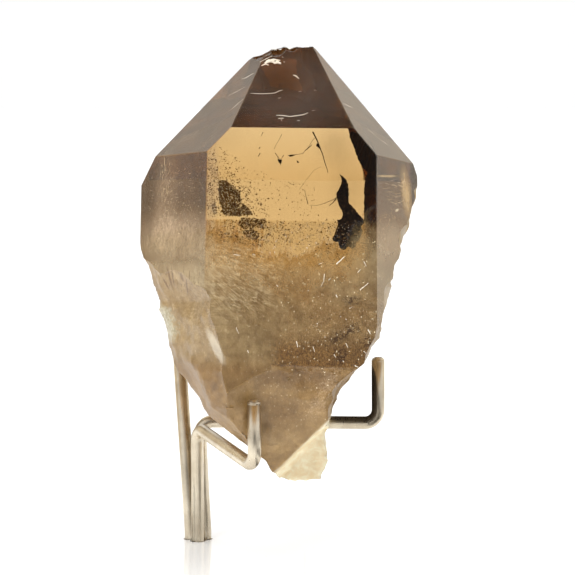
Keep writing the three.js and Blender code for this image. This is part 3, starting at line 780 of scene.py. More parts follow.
# Cracks as runs of (u, w) at a depth v, with their width in millimetres at the start and the end.
CRACKS = [
    (-16, 0.34, 0.1, [(4.8, -0.4), (5.3, -1.3), (5.9, -2.5), (6.5, -4.0), (7.1, -5.5), (7.6, -7.3),
                      (8.1, -8.6), (8.3, -9.5)]),
    (-15, 0.07, 0.12, [(5.4, -1.6), (4.7, -2.4), (3.8, -4.0), (3.2, -4.5), (2.7, -5.2), (0.9, -5.5),
                       (-0.4, -5.7)]),
    (-15, 0.12, 0.2, [(4.7, -3.2), (4.3, -3.6), (3.6, -4.2), (3.2, -4.5)]),
    (-14, 0.16, 0.14, [(-3.5, -5.1), (-3.1, -5.6), (-2.3, -6.7), (-1.5, -5.6)]),
    (-14, 0.14, 0.08, [(-6.2, -0.5), (-6.6, -1.4)]),
    (-14, 0.1, 0.16, [(-6.8, -3.8), (-7.1, -4.3)]),
    (-14, 0.16, 0.12, [(-6.8, -5.2), (-7.2, -6.0)]),
    (-14, 0.1, 0.05, [(-2.0, -0.9), (-2.4, -1.8), (-3.3, -3.4), (-3.7, -4.3)]),
    (-13, 0.08, 0.16, [(3.3, -13.2), (3.6, -14.6), (4.1, -16.4)]),
    (-13, 0.08, 0.08, [(5.4, -12.5), (5.5, -13.4)]),
    (-13, 0.1, 0.06, [(-0.4, -11.5), (0.5, -12.1), (1.4, -11.9)]),
    (-15, 0.06, 0.14, [(4.3, -16.7), (5.5, -16.8), (6.9, -16.5), (8.2, -16.0), (9.6, -15.4),
                       (10.3, -14.9)]),
    (-15, 0.24, 0.12, [(10.3, -15.1), (9.6, -16.0), (8.7, -16.8)]),
    (-13, 0.05, 0.05, [(6.9, -8.0), (5.4, -8.7), (3.6, -11.0), (2.0, -13.3)]),
]

# Scratches and small bright chips on the tip's faces: face, width, runs of (u, w).
SCARS = [
    ("tip front", 0.16, [(-6.32, 16.22), (-4.91, 17.01), (-3.5, 17.8)]),
    ("tip front", 0.5, [(-4.94, 16.5), (-3.2, 16.9), (-1.7, 16.7)]),
    ("tip front", 1.0, [(-5.2, 15.9), (-4.2, 16.5), (-3.0, 16.4)]),
    ("tip front", 0.9, [(-3.2, 15.9), (-2.4, 16.3), (-1.6, 15.9)]),
    ("tip front", 0.4, [(-6.0, 15.3), (-5.2, 15.7), (-4.4, 15.5)]),
    ("tip front", 0.4, [(-4.0, 16.3), (-2.6, 16.0), (-1.9, 16.2)]),
    ("tip front", 0.22, [(-1.23, 17.6), (-0.95, 17.5)]),
    ("tip front", 0.24, [(-0.95, 16.4), (-0.7, 16.3)]),
    ("tip front", 0.3, [(0.98, 13.1), (1.65, 12.9), (2.28, 12.2)]),
    ("tip front", 0.14, [(-8.88, 8.39), (-7.64, 8.34), (-6.3, 8.32), (-4.49, 8.43), (-3.36, 8.58),
                         (-2.43, 9.09), (-1.52, 9.36)]),
    ("tip front", 0.14, [(1.96, 9.06), (2.63, 9.07)]),
    ("tip front", 0.12, [(5.47, 9.41), (6.16, 9.47)]),
    ("tip front", 0.14, [(-2.76, 7.36), (-2.09, 7.38)]),
    ("tip front", 0.2, [(-3.46, 3.13), (-2.13, 3.11), (-0.35, 2.88), (1.23, 3.15), (2.58, 3.37),
                        (3.74, 3.88)]),
    ("tip front", 0.3, [(-3.0, 2.4), (-1.8, 2.45)]),
    ("tip front", 0.2, [(-2.4, 2.2), (-2.3, 1.9)]),
    ("tip front", 0.16, [(1.15, 2.01), (1.82, 1.95)]),
    ("tip front", 0.1, [(4.67, 4.44), (5.35, 4.5)]),
    ("tip front left", 0.16, [(-10.28, 12.4), (-9.46, 12.56), (-8.61, 13.02), (-7.76, 13.54)]),
    ("tip front left", 0.1, [(-13.49, 8.36), (-11.8, 9.12), (-9.9, 10.12)]),
    ("tip front left", 0.12, [(-13.23, 4.53), (-12.13, 5.53), (-10.39, 7.09)]),
    ("tip front right", 0.12, [(11.88, 6.53), (13.19, 6.04), (14.58, 5.96)]),
    ("tip front right", 0.1, [(17.76, 0.71), (18.81, 0.27), (19.56, -0.23)]),
    ("tip front right", 0.1, [(20.77, -1.3), (21.87, -1.6), (22.9, -2.18)]),
]

# How deep scratches and glints lie under their faces, in millimetres.
SCAR_DEPTH, GLINT_DEPTH = 0.03, 0.04
# Seeds of what is strewn.
HAIR_SEED, MARK_SEED, DARK_SEED, BRIGHT_SEED = 5, 9, 3, 8
# Short glints just under the front face, painted as pale threads: width, runs of (u, w).
GLINTS = [
    (0.34, [(10.1, -29.9), (11.0, -29.1), (11.8, -28.3)]), (0.2, [(16.2, -29.2), (16.8, -30.3)]),
    (0.26, [(15.5, -35.5), (16.4, -34.8), (17.3, -34.0)]), (0.2, [(7.5, -32.1), (7.3, -33.8), (6.7, -35.0)]),
    (0.34, [(3.9, -35.8), (4.0, -35.9)]), (0.26, [(10.1, -36.7), (10.4, -37.3)]),
    (0.16, [(6.2, -30.0), (7.1, -29.6)]), (0.26, [(8.8, -38.1), (8.9, -38.2)]),
    (0.22, [(11.2, -41.6), (11.3, -41.5)]), (0.24, [(12.3, -42.0), (12.5, -42.2)]),
    (0.3, [(1.4, -47.1), (1.6, -47.8), (1.7, -48.4)]),
    (0.22, [(12.0, -44.9), (12.1, -45.0)]), (0.3, [(17.3, -44.3), (17.9, -45.3)]),
    (0.22, [(7.7, -46.0), (7.8, -46.2)]), (0.2, [(12.4, -47.4), (12.9, -48.4)]),
    (0.24, [(11.8, -51.3), (12.0, -51.6)]), (0.26, [(14.4, -52.3), (15.2, -52.7)]),
    (0.18, [(5.1, -48.2), (5.5, -49.4)]), (0.18, [(-8.5, -28.0), (-7.9, -28.2)]),
    (0.2, [(-12.7, -28.1), (-11.2, -28.3)]), (0.22, [(-9.4, -49.2), (-9.2, -49.8)]),
    (0.2, [(-3.1, -34.7), (-2.8, -35.1)]), (0.16, [(-12.0, -44.2), (-11.4, -45.6)]),
    (0.2, [(14.9, -31.7), (15.5, -31.0)]), (0.16, [(8.4, -33.5), (8.9, -33.0)]),
    (0.2, [(9.8, -49.9), (10.2, -50.6)]), (0.18, [(16.4, -49.1), (16.9, -49.6)]),
    (0.16, [(13.1, -39.7), (13.8, -39.3)]), (0.18, [(5.9, -43.0), (6.1, -43.3)]),
]


# The fan of hairs at the front face's left edge: middle, spread and limits in u and w.
FAN_MIDDLE, FAN_SPREAD = (-12.0, -33.0), (4.5, 6.0)
FAN_LEFT, FAN_RIGHT, FAN_FOOT, FAN_TOP = -18.4, 1.0, -47.0, -24.5


def tapered(width, k):
    """The width at point k of a run of four: narrower at both ends."""
    return width * (1.0 if 0 < k < 3 else 0.5)


def hairs(count, seed):
    """Fine pale hairs under the front face, in a loose fan at its left edge."""
    rng = random.Random(seed)
    runs = []
    while len(runs) < count:
        u, w = (rng.gauss(*pair) for pair in zip(FAN_MIDDLE, FAN_SPREAD))
        if not (FAN_LEFT < u < FAN_RIGHT and FAN_FOOT < w < FAN_TOP):
            continue
        heading = math.radians(-16 - 1.6 * (w + 38) + rng.gauss(0, 20))
        bend, depth = math.radians(rng.uniform(-14, 9)), rng.uniform(-0.005, 0.06)
        length, width = rng.uniform(0.2, 0.7), rng.uniform(0.03, 0.07)
        run = []
        for k in range(4):
            run.append((on_face("prism front", u, w, depth), tapered(width, k)))
            u, w = u + length * math.cos(heading), w + length * math.sin(heading)
            heading += bend
            if not FAN_LEFT < u < FAN_RIGHT + 1.0:
                break
        if len(run) == 4:
            runs.append(run)
    return runs


# Fine marks just under the side faces: face, count, middle, spread, limits of u, limits of w, heading
# and its scatter in degrees, and the shortest and longest step.
SIDE_MARKS = (
    ("prism front left", 380, (-25.0, -16.5), (4.2, 5.2), (-30.8, -19.2), (-24.5, -7.0),
     (70, 70), (0.03, 0.16)),
    ("prism front left", 40, (-27.2, -12.0), (0.8, 4.6), (-30.0, -24.5), (-24.0, -6.6),
     (88, 7), (0.2, 0.8)),
    ("prism front right", 44, (23.4, -13.0), (1.9, 2.0), (19.8, 26.6), (-17.0, -10.4),
     (4, 5), (0.2, 0.9)),
    ("prism front right", 70, (22.0, -20.5), (1.8, 2.6), (19.6, 24.2), (-26.0, -16.5),
     (40, 80), (0.04, 0.2)),
)


def below_left_slope(u, highest):
    """The highest w for a mark at u: the left face's upper edge slopes down beyond u = -27."""
    return min(highest, 17.8 + 0.9 * u) if u < -27 else highest


def side_marks(seed):
    """Pale scratches and specks just under the side faces."""
    rng = random.Random(seed)
    runs = []
    for face, count, middle, spread, us, ws, (heading, scatter), steps in SIDE_MARKS:
        made = 0
        while made < count:
            u, w = (rng.gauss(*pair) for pair in zip(middle, spread))
            if not (us[0] < u < us[1] and ws[0] < w < below_left_slope(u, ws[1])):
                continue
            turn = math.radians(heading + rng.gauss(0, scatter))
            bend = math.radians(rng.uniform(-18, 18))
            depth, step, width = rng.uniform(-0.005, 0.04), rng.uniform(*steps), rng.uniform(0.03, 0.08)
            run = []
            for k in range(4):
                run.append((on_face(face, u, w, depth), tapered(width, k)))
                u, w, turn = u + step * math.cos(turn), w + step * math.sin(turn), turn + bend
            runs.append(run)
            made += 1
    return runs


class GeometryTree:
    """A geometry node tree with named inputs, which ends as one real mesh in one material."""

    def __init__(self, name, source, inputs):
        self.tree = bpy.data.node_groups.new(name, "GeometryNodeTree")
        self.link = self.tree.links.new
        socket = self.tree.interface.new_socket
        socket(source, in_out="INPUT", socket_type="NodeSocketGeometry")
        self.names = {
            label: socket(label, in_out="INPUT", socket_type="NodeSocket" + kind).identifier
            for label, kind in (*inputs, ("Material", "Material"))
        }
        socket("Mesh", in_out="OUTPUT", socket_type="NodeSocketGeometry")
        self.given = self.new("NodeGroupInput").outputs

    def new(self, kind, inputs=None, **settings):
        """A node with its settings and with the plain values or the links of its inputs."""
        made = self.tree.nodes.new(kind)
        for key, value in settings.items():
            setattr(made, key, value)
        for key, value in (inputs or {}).items():
            if isinstance(value, bpy.types.NodeSocket):
                self.link(value, made.inputs[key])
            else:
                made.inputs[key].default_value = value
        return made

    def finish(self, mesh):
        """Ends the tree in Realize Instances and Set Material."""
        real = self.new("GeometryNodeRealizeInstances", {"Geometry": mesh}).outputs["Geometry"]
        paint = {"Geometry": real, "Material": self.given["Material"]}
        painted = self.new("GeometryNodeSetMaterial", paint).outputs["Geometry"]
        self.new("NodeGroupOutput", {"Mesh": painted})
        return self

    def settle(self, name, source, values):
        """Runs the tree on an object and keeps the plain mesh it makes."""
        modifier = source.modifiers.new("nodes", "NODES")
        modifier.node_group = self.tree
        for label, value in values.items():
            modifier[self.names[label]] = value
        source.update_tag()
        context = bpy.context
        context.view_layer.update()
        evaluated = source.evaluated_get(context.evaluated_depsgraph_get())
        mesh = bpy.data.meshes.new_from_object(evaluated)
        mesh.name = name
        source.modifiers.clear()
        made = bpy.data.objects.new(name, mesh)
        context.scene.collection.objects.link(made)
        bpy.data.objects.remove(source, do_unlink=True)
        return made


def thread_tree():
    """Every curve becomes a thin closed thread, as wide as its points' radius says."""
    nodes = GeometryTree("thread along a curve", "Curves", (("Sides", "Int"),))
    ring = nodes.new("GeometryNodeCurvePrimitiveCircle", {"Resolution": nodes.given["Sides"], "Radius": 1.0})
    radius = nodes.new("GeometryNodeInputRadius").outputs["Radius"]
    sweep = nodes.new("GeometryNodeCurveToMesh", {
        "Curve": nodes.given["Curves"], "Profile Curve": ring.outputs["Curve"], "Scale": radius,
        "Fill Caps": True,
    })
    return nodes.finish(sweep.outputs["Mesh"])


def path_object(name, runs):
    """A curve with one straight-sided spline for each run of (point in metres, radius)."""
    curve = bpy.data.curves.new(name, "CURVE")
    curve.dimensions = "3D"
    for run in runs:
        spline = curve.splines.new("POLY")
        spline.points.add(len(run) - 1)
        for point, (place, radius) in zip(spline.points, run):
            point.co = (*place, 1.0)
            point.radius = radius
    source = bpy.data.objects.new(name + "_path", curve)
    bpy.context.scene.collection.objects.link(source)
    return source


def threads(name, runs, material, sides):
    """One piece of thin closed threads; each run is a list of (point in the stone's axes, width)."""
    runs = [[(STONE_PLACE @ place, width / 2 * MM) for place, width in run] for run in runs]
    return thread_tree().settle(name, path_object(name, runs), {"Sides": sides, "Material": material})


class QUARTZ_OT_cracks(bpy.types.Operator):
    """Builds the hairline cracks inside the stone, and the scratches, glints and hairs at its faces"""

    bl_idname = "quartz.cracks"
    bl_label = "Cracks and scratches"

    def execute(self, context):
        cracks = []
        for depth, start, end, path in CRACKS:
            last = len(path) - 1
            cracks.append([
                (Vector((u, depth, w)), start + (end - start) * i / last) for i, (u, w) in enumerate(path)
            ])
        scars = []
        for face, width, path in SCARS:
            ends = (0, len(path) - 1)
            scars.append([
                (on_face(face, u, w, SCAR_DEPTH), width * (0.5 if i in ends else 1.0))
                for i, (u, w) in enumerate(path)
            ])
        glints = [[(on_face("prism front", u, w, GLINT_DEPTH), width * (0.7 if i else 1.0))
                   for i, (u, w) in enumerate(path)] for width, path in GLINTS]
        fan = hairs(context.scene.quartz_inside.hair_count, HAIR_SEED)
        for name, runs, material, sides in (
            ("hairline_cracks", cracks, dark_veil_and_shade_material(), 6),
            ("tip_scratches", scars, pale_scar_and_glint_material(), 6),
            ("front_glints", glints, pale_scar_and_glint_material(), 5),
            ("fan_hairs", fan, hair_material(), 4),
            ("side_marks", side_marks(MARK_SEED), hair_material(), 4),
        ):
            join_stone_piece(threads(name, runs, material, sides))
        return {"FINISHED"}


# How crowded the smaller smudges are beside the large one.
SMALL_SMUDGE_SHARE = 0.55
# Fields of small flakes: depth v, crowding, outline in u and w.
DARK_FIELDS = [
    (-12, 0.6, [(-18.6, -4.6), (-15.2, -3.7), (-11.2, -6.7), (-8.9, -11.2), (-6.2, -15.6), (-3.9, -19.1),
                (-11, -19.5), (-18.4, -19.6)]),
    (-14, 1.4, [(-18.6, -6.5), (-16.6, -6), (-15.9, -11.4), (-15.8, -19.6), (-18.5, -19.7)]),
    (-13, 1.0, [(-16.4, -8.5), (-13.5, -8.5), (-9.2, -14), (-7.5, -19.3), (-15.8, -19.4)]),
    (-10, 0.22, [(-11.1, -7.7), (0.2, -10.9), (4.7, -12), (7, -18.9), (-8.7, -19.3)]),
    (-8, 0.5, [(-18.2, -19.9), (12.8, -19.4), (12.8, -25.2), (-18.2, -25.7)]),
    (-11, 1.0, [(-14, -20), (-2, -20), (2, -24), (-6, -26), (-15, -25)]),
    (-19.55, 3.0, [(11.8, -37.0), (15.8, -36.8), (15.6, -38.9), (12.2, -38.9)]),
    (-19.55, 3.0, [(13.2, -42.8), (15.6, -42.6), (15.8, -45.2), (13.0, -45.4)]),
    (-19.5, 2.4, [(7.2, -47.2), (11.0, -44.8), (13.0, -44.6), (13.0, -46.6), (10.0, -47.6),
                  (7.4, -48.6)]),
    (-19.5, 1.6, [(10.0, -48.0), (13.0, -47.6), (12.6, -52.4), (9.6, -52.4)]),
    (-19.5, 0.5, [(3.0, -46.0), (18.0, -44.0), (17.5, -49.0), (14.5, -52.5), (-3.5, -52.0)]),
    (-19.3, 0.25, [(5.0, -26.0), (18.0, -24.0), (18.0, -46.0), (4.0, -46.0)]),
]
BRIGHT_FIELDS = [
    (-17, 1.0, [(15.1, -22.6), (19, -19.8), (19, -37.7), (15.7, -37.7), (13.3, -26.6)]),
    (-17, 0.35, [(-18.2, -21), (13, -20.5), (13, -29), (-18, -29)]),
    (-13, 0.3, [(9.5, -20), (16, -20), (15.5, -26.5), (10, -26.5)]),
    (-19.3, 0.5, [(6.0, -43.0), (18.0, -42.0), (17.5, -49.0), (14.5, -52.5), (6.0, -52.3)]),
    (-19.3, 0.14, [(-2.0, -30.0), (18.0, -26.0), (18.0, -42.0), (-2.0, -50.0)]),
    (-19.3, 0.2, [(-18.3, -24.0), (-6.0, -26.0), (-4.0, -50.0), (-14.0, -50.0)]),
]


def fleck_tree():
    """Small flat flakes strewn over faces, as crowded as the faces say."""
    nodes = GeometryTree("strewn flakes", "Field", (
        ("Density", "Float"), ("Smallest", "Float"), ("Largest", "Float"), ("Seed", "Int")))
    given, seed = nodes.given, nodes.given["Seed"]
    crowding = nodes.new("GeometryNodeInputNamedAttribute", {"Name": "crowding"}, data_type="FLOAT")
    density = nodes.new("ShaderNodeMath", {0: given["Density"], 1: crowding.outputs["Attribute"]},
                        operation="MULTIPLY")
    strew = nodes.new("GeometryNodeDistributePointsOnFaces", {
        "Mesh": given["Field"], "Density": density.outputs[0], "Seed": seed,
    }, distribute_method="RANDOM")
    grain = nodes.new("GeometryNodeMeshIcoSphere", {"Radius": 0.5, "Subdivisions": 1})
    full_turn = (6.283, 6.283, 6.283)
    turn = nodes.new("FunctionNodeRandomValue", {1: full_turn, "Seed": seed}, data_type="FLOAT_VECTOR")
    flat = nodes.new("FunctionNodeRandomValue", {0: (0.35, 0.5, 0.25), 1: (1.0, 1.6, 0.5), "Seed": seed},
                     data_type="FLOAT_VECTOR")
    size = nodes.new("FunctionNodeRandomValue", {2: given["Smallest"], 3: given["Largest"], "Seed": seed},
                     data_type="FLOAT")
    scale = nodes.new("ShaderNodeVectorMath", {0: flat.outputs[0], "Scale": size.outputs[1]},
                      operation="SCALE")
    drop = nodes.new("GeometryNodeInstanceOnPoints", {
        "Points": strew.outputs["Points"], "Instance": grain.outputs["Mesh"],
        "Rotation": turn.outputs[0], "Scale": scale.outputs[0],
    })
    return nodes.finish(drop.outputs["Instances"])


def strewn(name, fields, material, size, seed):
    """One piece of flakes, strewn over flat fields inside the stone."""
    bm = bmesh.new()
    crowd = bm.faces.layers.float.new("crowding")
    for depth, crowding, outline in fields:
        face = bm.faces.new([bm.verts.new(STONE_PLACE @ Vector((u, depth, w))) for u, w in outline])
        face[crowd] = crowding
    field = mesh_object(name + "_field", bm, material)
    join_stone_piece(fleck_tree().settle(name, field, {
        "Density": size.fleck_density, "Smallest": size.fleck_smallest, "Largest": size.fleck_largest,
        "Seed": seed, "Material": material,
    }))


class QUARTZ_OT_flecks(bpy.types.Operator):
    """Strews dark and bright flecks through the stone"""

    bl_idname = "quartz.flecks"
    bl_label = "Flecks"

    def execute(self, context):
        size = context.scene.quartz_inside
        smudges = [
            (depth, size.smudge_crowding * (1.0 if name == "large" else SMALL_SMUDGE_SHARE), outline)
            for name, (depth, outline) in SMUDGES.items()
        ]
        strewn("dark_flecks", DARK_FIELDS + smudges, smudge_material(), size, DARK_SEED)
        strewn("bright_flecks", BRIGHT_FIELDS, pale_scar_and_glint_material(), size, BRIGHT_SEED)
        return {"FINISHED"}


# ---------------------------------------------------------------- the wires
# Places in millimetres: the three stems stand bundled behind the stone's left edge.

BUNDLE_X, BUNDLE_FRONT = -18.85, 2.5
FOOT_LEVEL, BUNDLE_TOP = 2.3, 8.0
HALF_SPACING = 1.625
BUNDLE_BACK = BUNDLE_FRONT + 2 * HALF_SPACING * math.sin(math.pi / 3)
WIRE_ROUTES = {
    "back_support": [(BUNDLE_X - HALF_SPACING, BUNDLE_BACK, FOOT_LEVEL),
                     (BUNDLE_X - HALF_SPACING, BUNDLE_BACK, BUNDLE_TOP), (-23.8, 6.9, 60.2)],
    "front_prong": [(BUNDLE_X, BUNDLE_FRONT, FOOT_LEVEL), (-18.9, 2.5, 32.7), (-5.2, -26.05, 27.6),
                    (-5.3, -26.9, 42.8)],
    "side_hook": [(BUNDLE_X + HALF_SPACING, BUNDLE_BACK, FOOT_LEVEL),
                  (BUNDLE_X + HALF_SPACING, BUNDLE_BACK, BUNDLE_TOP),
                  (-18.5, 6, 33.6), (23.2, 5.4, 33.3), (23.1, 5.4, 48.7)],
}
# How the wire's thickness grows from its worn end (0) to full (1) over the length of the wear.
WORN_END = ((0.0, 0.5), (0.2, 0.76), (0.55, 0.95), (1.0, 1.0))


def wire_tree():
    """A run of corners becomes a bent round wire with worn ends."""
    nodes = GeometryTree("bent wire", "Corners", (
        ("Wire Diameter", "Float"), ("Bend Radius", "Float"), ("Bend Steps", "Int"), ("Sides", "Int"),
        ("End Wear", "Float")))
    given = nodes.given

    def number(operation, a, b, clamp=False):
        return nodes.new("ShaderNodeMath", {0: a, 1: b}, operation=operation, use_clamp=clamp).outputs[0]

    bend = nodes.new("GeometryNodeFilletCurve", {
        "Curve": given["Corners"], "Count": given["Bend Steps"], "Radius": given["Bend Radius"],
    }, mode="POLY")
    along = nodes.new("GeometryNodeSplineParameter").outputs["Length"]
    whole = nodes.new("GeometryNodeSplineLength").outputs["Length"]
    to_end = number("MINIMUM", number("SUBTRACT", whole, along), along)
    worn = nodes.new("ShaderNodeFloatCurve", {"Value": number("DIVIDE", to_end, given["End Wear"], True)})
    shape = worn.mapping.curves[0].points
    shape[0].location, shape[1].location = WORN_END[0], WORN_END[-1]
    for place in WORN_END[1:-1]:
        shape.new(*place)
    half = number("MULTIPLY", given["Wire Diameter"], 0.5)
    ring = nodes.new("GeometryNodeCurvePrimitiveCircle", {"Resolution": given["Sides"], "Radius": half})
    sweep = nodes.new("GeometryNodeCurveToMesh", {
        "Curve": bend.outputs["Curve"], "Profile Curve": ring.outputs["Curve"],
        "Scale": worn.outputs["Value"], "Fill Caps": True,
    })
    return nodes.finish(sweep.outputs["Mesh"])


def with_end_points(corners, wear):
    """The corners, with a few more points close to both ends so that the ends can be worn round."""
    points = [Vector(c) for c in corners]
    first = (points[1] - points[0]).normalized()
    last = (points[-2] - points[-1]).normalized()
    steps = [wear * k / 5 for k in range(1, 6)]
    head = [points[0] + first * s for s in steps]
    tail = [points[-1] + last * s for s in reversed(steps)]
    return [points[0], *head, *points[1:-1], *tail, points[-1]]


class QUARTZ_OT_wires(bpy.types.Operator):
    """Bends the three wires of the stand"""

    bl_idname = "quartz.wires"
    bl_label = "Wires"

    def execute(self, context):
        look = context.scene.quartz_wires
        metal = wire_material(look)
        for node, corners in WIRE_ROUTES.items():
            points = with_end_points(corners, look.end_wear / MM)
            path = path_object(node, [[(point * MM, 1.0) for point in points]])
            wire = wire_tree().settle(node + "_wire", path, {
                "Wire Diameter": look.diameter, "Bend Radius": look.bend_radius,
                "Bend Steps": look.bend_steps, "Sides": look.sides, "End Wear": look.end_wear,
                "Material": metal,
            })
            for face in wire.data.polygons:
                face.use_smooth = len(face.vertices) == 4
            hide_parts(node)
            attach(wire, "root")
        return {"FINISHED"}


# ---------------------------------------------------------------- the base


class QUARTZ_OT_base(bpy.types.Operator):
    """Gives the base plate its glossy white finish"""

    bl_idname = "quartz.base"
    bl_label = "Base plate"

    def execute(self, context):
        finish = acrylic_material()
        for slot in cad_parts["base"].material_slots:
            slot.material = finish
        return {"FINISHED"}


# ---------------------------------------------------------------- the stage
# Places in metres. The camera sees none of the screens and cards.

# Upright curved screens round the stone: azimuths from the back to the right in degrees, heights,
# distance, colour (or the setting that holds it), and whether they are mirrored or seen through it.
FLAGS = {
    "right_back_flag": ((11, 75), (0.0, 0.17), 0.115, "right_screen", False),
    "left_back_flag": ((-50, -11), (0.0, 0.17), 0.115, "left_screen", False),
    "left_side_flag": ((-82, -50), (0.0, 0.17), 0.115, (0.1, 0.06, 0.03), False),
    "left_front_flag": ((-132, -100), (0.04, 0.16), 0.2, (0.02, 0.014, 0.01), False),
    "right_low_flag": ((24, 62), (0.0, 0.05), 0.113, (0.05, 0.035, 0.02), False),
    "left_low_flag": ((-62, -24), (0.0, 0.05), 0.113, (0.07, 0.05, 0.03), False),
    "left_warm_flag": ((-55, -24), (0.045, 0.4), 0.2, (0.80, 0.74, 0.62), True),
    "left_brown_flag": ((-88, -55), (0.045, 0.4), 0.2, (0.70, 0.58, 0.42), True),
    "right_warm_flag": ((20, 75), (0.045, 0.4), 0.2, (0.72, 0.66, 0.55), True),
    "corner_flag": ((-3, 16), (0.06, 0.4), 0.2, (0.10, 0.07, 0.045), True),
}
FLAG_COLUMNS = 8
# Level sheets, seen from above alone: height, corners, colour, and whether they are mirrored.
GROUND_PATCHES = {
    "rear_patch": (0.0005, ((-0.03, 0.05), (0.03, 0.05), (0.04, 0.4), (-0.04, 0.4)),
                   (0.85, 0.82, 0.75), False),
    "table_edge": (0.0005, ((-0.9, -2.0), (0.9, -2.0), (0.5, -0.36), (-0.5, -0.36)),
                   (0.05, 0.045, 0.04), True),
    "right_card": (0.018, ((0.024, -0.16), (0.09, -0.16), (0.09, -0.002), (0.024, -0.002)),
                   (0.05, 0.04, 0.03), True),
}
# Small flat cards close to the wires and over the tip, all mirrored: corners and colour.
CARDS = {
    "hook_side_card": (((0.0208, -0.003, 0.0325), (0.0208, 0.014, 0.0325), (0.0208, 0.014, 0.0475),
                        (0.0208, -0.003, 0.0475)), (0.05, 0.038, 0.028)),
    "hook_top_card": (((0.012, -0.003, 0.0362), (0.0212, -0.003, 0.0362), (0.0212, 0.014, 0.0362),
                       (0.012, 0.014, 0.0362)), (0.05, 0.038, 0.028)),
    "stem_card": (((0.006, -0.06, 0.001), (0.006, -0.008, 0.001), (0.006, -0.008, 0.018),
                   (0.006, -0.06, 0.018)), (0.06, 0.05, 0.04)),
    "tip_card": (((-0.3, -0.5, 0.5), (0.3, -0.5, 0.5), (0.3, 0.25, 0.5), (-0.3, 0.25, 0.5)),
                 (0.40, 0.25, 0.11)),
}
FLOOR_RADIUS = 6.0
CEILING_SPREAD, CEILING_TILT = math.radians(70), math.radians(-12)
FILL_PLACE, FILL_AIM, FILL_SIZE = (-0.55, -0.9, 0.95), (0, 0, 0.07), (0.5, 0.5)
CAMERA_PITCH, CAMERA_DISTANCE = math.radians(4.8), 0.621
CAMERA_TARGET = Vector((0.00207, 0, 0.0654))


def matte(name, colour):
    s = Shader(name)
    s.set(Base_Color=colour, Roughness=1.0, Specular_IOR_Level=0.0)
    return s


def hang(name, bm, shader, mirrored):
    """Puts up a screen that is only mirrored in the object, or only seen through it."""
    screen = mesh_object(name, bm, shader.material)
    screen.visible_camera = False
    screen.visible_diffuse = False
    screen.visible_shadow = False
    screen.visible_glossy = mirrored
    screen.visible_transmission = not mirrored


def flag(name, azimuths, heights, radius, colour, mirrored):
    """An upright curved screen round the stone."""
    bm = bmesh.new()
    columns = []
    for k in range(FLAG_COLUMNS + 1):
        a = math.radians(azimuths[0] + (azimuths[1] - azimuths[0]) * k / FLAG_COLUMNS)
        x, y = radius * math.sin(a), radius * math.cos(a)
        columns.append([bm.verts.new((x, y, z)) for z in heights])
    for (a, b), (c, d) in zip(columns, columns[1:]):
        bm.faces.new((a, c, d, b))
    hang(name, bm, matte(name, colour), mirrored)


def sheet(name, corners, colour, mirrored, one_sided=False):
    """A flat sheet; a one-sided one is seen from its front alone."""
    bm = bmesh.new()
    bm.faces.new([bm.verts.new(corner) for corner in corners])
    s = matte(name, colour)
    if one_sided:
        s.set(Alpha=s.rest(s.node("ShaderNodeNewGeometry", {}).outputs["Backfacing"]))
    hang(name, bm, s, mirrored)


def studio_world(look):
    """Bright behind, dimmer at both sides near the ground, dark where the camera stands."""
    world = bpy.data.worlds.new("studio")
    bpy.context.scene.world = world
    world.use_nodes = True
    tree = world.node_tree
    tree.nodes.clear()

    def node(kind, values, **settings):
        made = tree.nodes.new("ShaderNode" + kind)
        for key, value in settings.items():
            setattr(made, key, value)
        for socket, value in zip(made.inputs, values):
            if isinstance(value, bpy.types.NodeSocket):
                tree.links.new(value, socket)
            else:
                socket.default_value = value
        return made.outputs

    def ramp(*values):
        return node("MapRange", values, interpolation_type="SMOOTHSTEP")[0]

    def math_node(operation, a, b):
        return node("Math", (a, b), operation=operation)[0]

    # the direction looked in, from -1 to 1: to the right, to the back and up
    x, y, z = node("SeparateXYZ", [node("TexCoord", ())["Generated"]])
    around = ramp(y, -0.96, -0.8, look.front_light, look.back_light)
    light = math_node("MULTIPLY", around, ramp(z, 0.6, 0.97, 1.0, look.top_light))
    low = ramp(z, 0.12, 0.36, 1.0, 0.0)
    right = math_node("MULTIPLY", ramp(x, 0.3, 0.7, 0.0, look.right_dip), low)
    left = math_node("MULTIPLY", ramp(x, -0.4, -0.85, 0.0, look.left_dip), low)
    light = math_node("MULTIPLY", light, math_node("SUBTRACT", 1.0, math_node("ADD", right, left)))
    sky = node("Background", ((1.0, 1.0, 1.0, 1.0), light))[0]
    node("OutputWorld", (sky,))


def lamp(name, light, turn, place=(0.0, 0.0, 0.0)):
    """Hangs a light which neither the stone nor the wires mirror."""
    made = bpy.data.objects.new(name, light)
    made.location, made.rotation_euler = place, turn
    made.visible_glossy = False
    made.visible_transmission = False
    bpy.context.scene.collection.objects.link(made)


def ceiling(look):
    """Even light from a broad ceiling."""
    light = bpy.data.lights.new("ceiling", "SUN")
    light.energy, light.angle = look.overhead_strength, CEILING_SPREAD
    lamp("ceiling", light, (CEILING_TILT, 0.0, 0.0))


def softbox(name, place, aim, size, power):
    light = bpy.data.lights.new(name, "AREA")
    light.shape, light.size, light.size_y, light.energy = "RECTANGLE", size[0], size[1], power
    lamp(name, light, (Vector(aim) - Vector(place)).to_track_quat("-Z", "Y").to_euler(), place)


